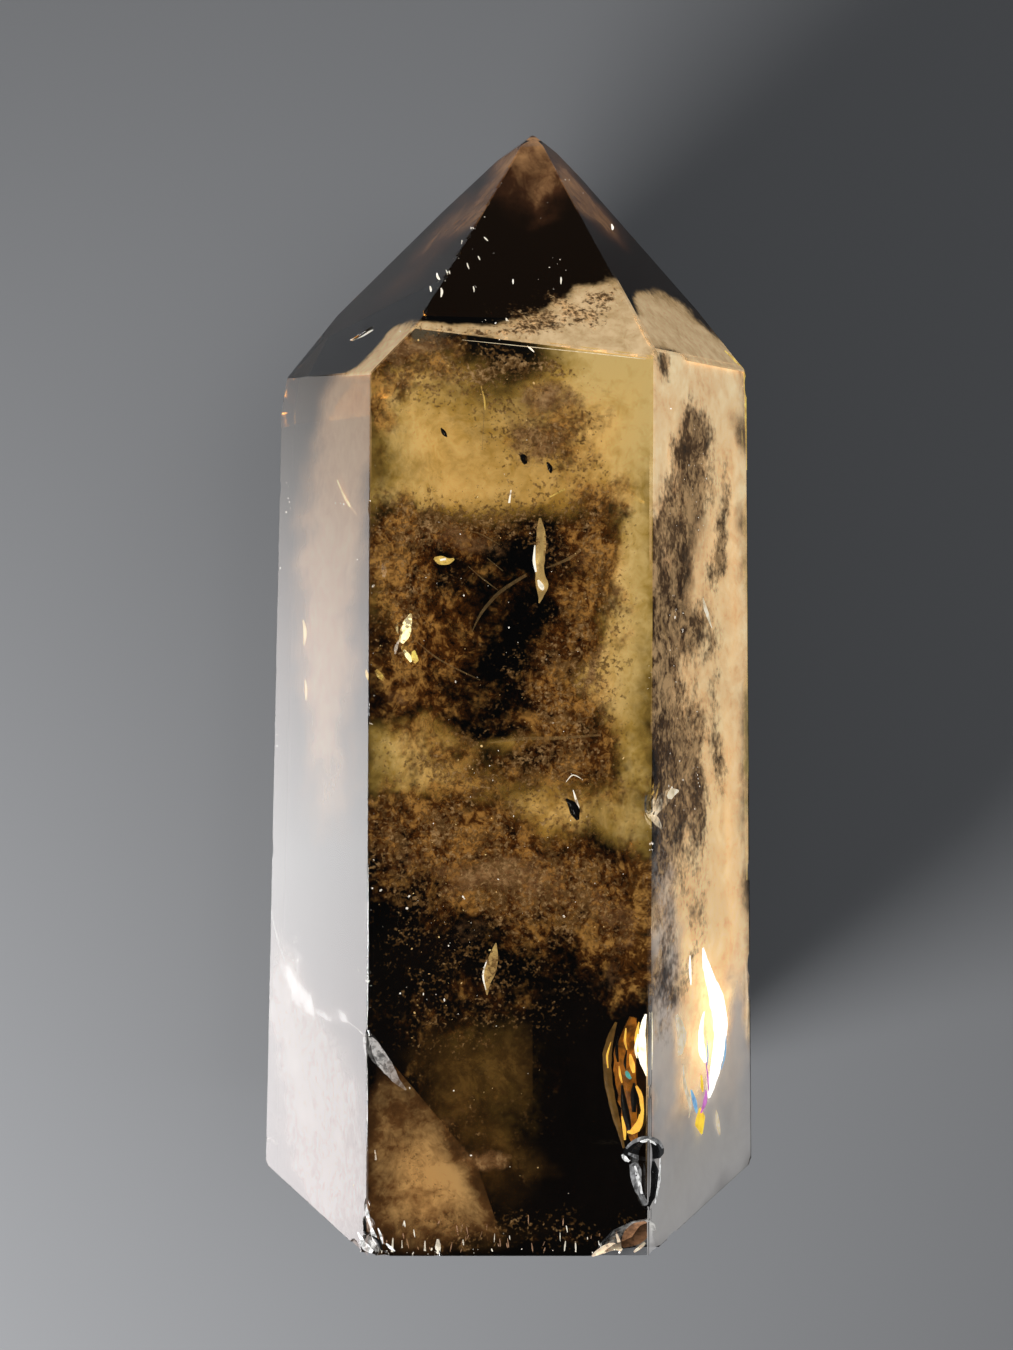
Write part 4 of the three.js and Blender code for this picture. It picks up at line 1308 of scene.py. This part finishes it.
        [(7.65, 5.29, 0.03), (7.76, 4.44, 0.09), (7.76, 3.42, 0.06)],
        [(6.45, 5.8, 0.05), (6.62, 5.57, 0.13), (6.85, 5.4, 0.05)],
        [(8.57, 5.57, 0.03), (8.51, 4.32, 0.07), (8.27, 3.02, 0.03)],
        [(7.48, 6.54, 0.03), (8.05, 6.6, 0.08), (8.4, 6.37, 0.03)],
    ],
    "corner_white": [
        [(-8.2, 2.96, 0.05), (-8.09, 2.28, 0.1), (-7.92, 1.72, 0.06)],
        [(-7.92, 1.72, 0.05), (-7.74, 1.15, 0.14), (-7.57, 0.7, 0.06)],
        [(-8.48, 0.92, 0.09), (-8.2, 0.53, 0.21), (-7.8, 0.24, 0.11)],
        [(-7.51, 1.6, 0.03), (-7.34, 1.15, 0.07), (-7.23, 0.7, 0.03)],
        [(-7.06, 0.75, 0.03), (-6.83, 0.53, 0.08), (-6.54, 0.3, 0.03)],
        [(-8.66, 1.38, 0.03), (-8.49, 1.09, 0.09), (-8.31, 0.81, 0.05)],
    ],
    "corner_black": [
        [(-8.32, 2.17, 0.05), (-8.2, 1.6, 0.14), (-8.2, 1.04, 0.06)],
        [(-7.86, 1.15, 0.05), (-7.51, 0.87, 0.11), (-7.28, 0.36, 0.05)],
    ],
    "base_chip_brown": [
        [(6.44, 0.58, 0.11), (6.9, 1.04, 0.51), (7.47, 1.49, 0.57), (7.87, 1.94, 0.17)],
    ],
    "base_chip_cream": [
        [(4.72, 0.02, 0.06), (5.29, 0.36, 0.23), (5.92, 0.58, 0.23), (6.44, 0.36, 0.09)],
        [(6.1, 1.32, 0.05), (6.27, 0.75, 0.1), (6.32, 0.3, 0.05)],
        [(7.12, 0.24, 0.05), (7.47, 0.53, 0.11), (7.75, 0.81, 0.05)],
    ],
    "base_streaks_pale": base_streaks(16, 21),
    "base_streaks_rust": base_streaks(34, 22),
}

SPECK_CLOUDS = {
    "top": [
        (0.6, 49.2, 7.5, 4.1, 0, 1), (-0.5, 37.6, 7.5, 5.2, 0, 0.7), (0.6, 33.5, 2.9, 1.7, 0, 2),
        (-0.5, 27.2, 7.5, 3.5, 0, 1), (-0.5, 21.4, 7.5, 3.5, 0, 1.4), (-4.6, 17.4, 3.4, 3.4, 0, 2.2),
        (-2.3, 11.7, 5.2, 3.4, 0, 0.7), (-2.3, 4.3, 5.7, 2.9, 0, 0.8),
    ],
    "ridges": [
        (-7.8, 43.4, 0.1, 3.5, 0, 1), (-7.9, 34.7, 0.1, 5.2, 0, 0.7), (-7.9, 26.0, 0.1, 4.6, 0, 1),
        (-8.0, 17.4, 0.1, 5.2, 0, 0.8), (8.0, 23.2, 0.1, 3.5, 0, 1.2), (-0.5, 0.2, 7.4, 0.2, 0, 1.2),
        (8.1, 31.8, 0.1, 5.2, 0, 0.6),
    ],
    "left": [
        (-14.7, 44.5, 0.2, 1.7, 0, 1), (-15.3, 41.0, 0.1, 4.0, 0, 0.6), (-9.9, 43.8, 0.8, 1.2, 0, 0.5),
        (-15.7, 24.8, 0.1, 6.7, 0, 0.4), (-13.4, 15.6, 0.6, 1.3, -40, 0.8),
    ],
    "right": [
        (11.7, 45.4, 0.9, 3.1, 0, 1.2), (12.3, 43.6, 0.4, 1.9, 0, 2), (9.4, 40.0, 0.8, 3.6, 0, 0.8),
        (10.0, 35.3, 1.2, 3.0, 0, 1.2), (11.7, 27.6, 0.2, 3.1, 0, 2.5), (10.3, 26.9, 1.2, 3.6, 0, 0.7),
    ],
    "end": [
        (-3.3, 58.3, 0.4, 3.0, -32, 1.6), (1.3, 63.5, 3.2, 2.5, 0, 0.5), (0.7, 57.8, 4.2, 1.5, 0, 0.8),
        (-0.5, 53.7, 5.3, 0.5, 0, 0.8),
    ],
}

FLAKE_FINISHES = {
    "needle_tan": {"colour": (0.62, 0.4, 0.14), "glow": 0.6, "grain": 900.0},
    "flake_gold": {"colour": (0.75, 0.5, 0.12), "glow": 0.9},
    # White flakes, and the painted highlights that share their finish.
    "white_flake_and_highlight": {"colour": (0.95, 0.88, 0.72), "glow": 1.2},
    "crack_line": {"colour": (0.42, 0.26, 0.1), "glow": 0.5, "alpha": 0.36},
    # Dark flakes, and the painted shade of a small pit.
    "flake_dark_and_shade": {"colour": (0.006, 0.004, 0.003), "glow": 0.1},
    "flake_sun": {"colour": (1.0, 0.86, 0.42), "glow": 1.9, "grain": 1500.0},
    "crack_rim_white": {"colour": (0.36, 0.345, 0.33), "glow": 0.8, "contrast": 9.0, "grain": 2600.0},
    "right_edge_olive": {"colour": (0.5, 0.38, 0.13), "glow": 0.8, "alpha": 0.5, "grain": 700.0},
    # Painted reflection: the amber, gold and white of the flame's crack.
    "flame_reflection_amber": {"colour": (0.2, 0.066, 0.005), "glow": 0.8,
                    "alpha": 0.95, "contrast": 9.0, "grain": 1300.0},
    "flame_reflection_gold": {"colour": (0.95, 0.5, 0.07), "glow": 1.1, "grain": 1200.0, "contrast": 2.0},
    "flame_rim": {"colour": (0.17, 0.088, 0.02), "glow": 0.7, "alpha": 0.85, "grain": 1200.0},
    "film_teal": {"colour": (0.1, 0.45, 0.4), "glow": 0.8},
    "flame_reflection_white": {"colour": (1.0, 0.9, 0.62), "glow": 1.8},
    # Painted reflection in the flare: white and cream.
    "flare_white": {"colour": (1.0, 1.0, 0.98), "glow": 2.2},
    "flare_cream": {"colour": (0.8, 0.66, 0.46), "glow": 0.9},
    "film_yellow": {"colour": (1.0, 0.66, 0.03), "glow": 1.2},
    "film_magenta": {"colour": (0.65, 0.18, 0.62), "glow": 1.0},
    "film_blue": {"colour": (0.22, 0.5, 0.85), "glow": 1.0},
    "dart_cream": {"colour": (0.85, 0.72, 0.5), "glow": 1.0},
    "ridge_pale": {"colour": (0.8, 0.62, 0.38), "glow": 0.8},
    "left_gold": {"colour": (0.85, 0.62, 0.3), "glow": 0.9},
    "base_rust": {"colour": (0.42, 0.24, 0.14), "glow": 0.8},
    # Painted shade, reflection and highlights of the chips.
    "chip_black_and_shade": {"colour": (0.012, 0.012, 0.012), "glow": 0.2, "roughness": 0.2},
    "chip_grey_reflection": {"colour": (0.22, 0.22, 0.22), "glow": 0.5, "contrast": 7.0, "grain": 2400.0},
    "chip_white_and_highlight": {"colour": (0.75, 0.75, 0.73), "glow": 0.8, "contrast": 8.0, "grain": 3200.0},
    "broken_cream": {"colour": (0.7, 0.56, 0.42), "glow": 0.7},
    "broken_brown": {"colour": (0.22, 0.11, 0.055), "glow": 0.6, "contrast": 5.0},
    "speck_pale": {"colour": (0.95, 0.88, 0.76), "glow": 1.1},
    "speck_gold": {"colour": (0.9, 0.6, 0.25), "glow": 0.9},
}

# Face, depth in millimetres and finish of each piece made of flakes.
FLAKES = (
    ("needles", top, 1.3, "needle_tan"),
    # Painted highlights on the needles.
    ("needle_highlights", top, 1.1, "white_flake_and_highlight"),
    ("gold_flakes", top, 1.6, "flake_gold"),
    ("white_flakes_and_highlights", top, 1.2, "white_flake_and_highlight"),
    ("sun_flakes", top, 1.1, "flake_sun"),
    ("crack_lines", top, 1.0, "crack_line"),
    ("dark_flakes_and_shade", top, 0.9, "flake_dark_and_shade"),
    ("crack_rim_white", top, 0.4, "crack_rim_white"),
    ("left_crack_line", left, 0.4, "crack_rim_white"),
    ("right_rim", right, 0.3, "flake_gold"),
    ("right_edge_glow", right, 0.5, "right_edge_olive"),
    ("flame_rim", top, 0.75, "flame_rim"),
    ("flame_dark", top, 0.55, "flake_dark_and_shade"),
    # The flame's amber, gold and white pieces are painted reflection.
    ("flame_reflection_amber", top, 0.7, "flame_reflection_amber"),
    ("flame_reflection_gold", top, 0.5, "flame_reflection_gold"),
    ("flame_reflection_white", top, 0.4, "flame_reflection_white"),
    ("flame_teal", top, 0.4, "film_teal"),
    # The flare pieces are painted reflection.
    ("flare_white", right, 0.9, "flare_white"),
    ("flare_cream", right, 1.1, "flare_cream"),
    ("flare_yellow", right, 0.8, "film_yellow"),
    ("flare_magenta", right, 0.7, "film_magenta"),
    ("flare_blue", right, 0.7, "film_blue"),
    ("right_dart", right, 0.5, "dart_cream"),
    ("left_sliver", left_end, 0.4, "white_flake_and_highlight"),
    ("ridge_line", top_end, 0.12, "ridge_pale"),
    ("end_flecks", top_end, 0.4, "white_flake_and_highlight"),
    ("left_gold", left, 0.8, "left_gold"),
    ("base_ticks", top, 0.5, "white_flake_and_highlight"),
    ("base_streaks_pale", top, 0.4, "white_flake_and_highlight"),
    ("base_streaks_rust", top, 0.5, "base_rust"),
)

# Height above the surface in millimetres and finish of each piece made of marks.
MARKS = (
    # On the tooth chip these marks are painted shade, reflection and highlights.
    ("tooth_dark", 0.04, "chip_black_and_shade"),
    ("tooth_grey", 0.055, "chip_grey_reflection"),
    ("tooth_white", 0.07, "chip_white_and_highlight"),
    ("corner_white", 0.03, "chip_white_and_highlight"),
    ("corner_black", 0.04, "chip_black_and_shade"),
    ("base_chip_brown", 0.04, "broken_brown"),
    ("base_chip_cream", 0.055, "broken_cream"),
)

# Face, clouds, count, least and largest size, least and largest depth, seed and finish.
SPECKS = (
    ("pale_specks", top, "top", 110, 0.022, 0.085, 0.4, 3.0, 4, "speck_pale"),
    ("gold_specks", top, "top", 130, 0.022, 0.070, 0.4, 3.0, 5, "speck_gold"),
    ("ridge_specks", top, "ridges", 60, 0.025, 0.10, 0.35, 0.5, 6, "speck_pale"),
    ("left_specks", left, "left", 26, 0.03, 0.12, 0.35, 0.6, 7, "speck_pale"),
    ("right_specks", right, "right", 70, 0.025, 0.085, 0.35, 0.7, 9, "speck_pale"),
    ("end_specks", top_end, "end", 30, 0.02, 0.055, 0.35, 1.2, 8, "speck_pale"),
)


def make_small_pieces(crystal):
    finishes = {name: flake_material(name, **values) for name, values in FLAKE_FINISHES.items()}
    for name, face, depth, finish in FLAKES:
        flakes(name, face, depth, STROKES[name], finishes[finish])
    for name, lift, finish in MARKS:
        surface_marks(name, crystal, STROKES[name], lift, finishes[finish])
    for name, face, clouds, count, smallest, largest, shallow, deep, seed, finish in SPECKS:
        specks(name, face, SPECK_CLOUDS[clouds], count, smallest, largest, shallow, deep, seed,
               finishes[finish])


# ---- The scene ----

add_camera()
add_floor()
set_world()
set_light_paths()
add_reflector_card()
for settings in SOFTBOXES:
    add_softbox(**settings)

crystal = make_crystal()
make_chip_frost(crystal)
make_veils()
make_small_pieces(crystal)
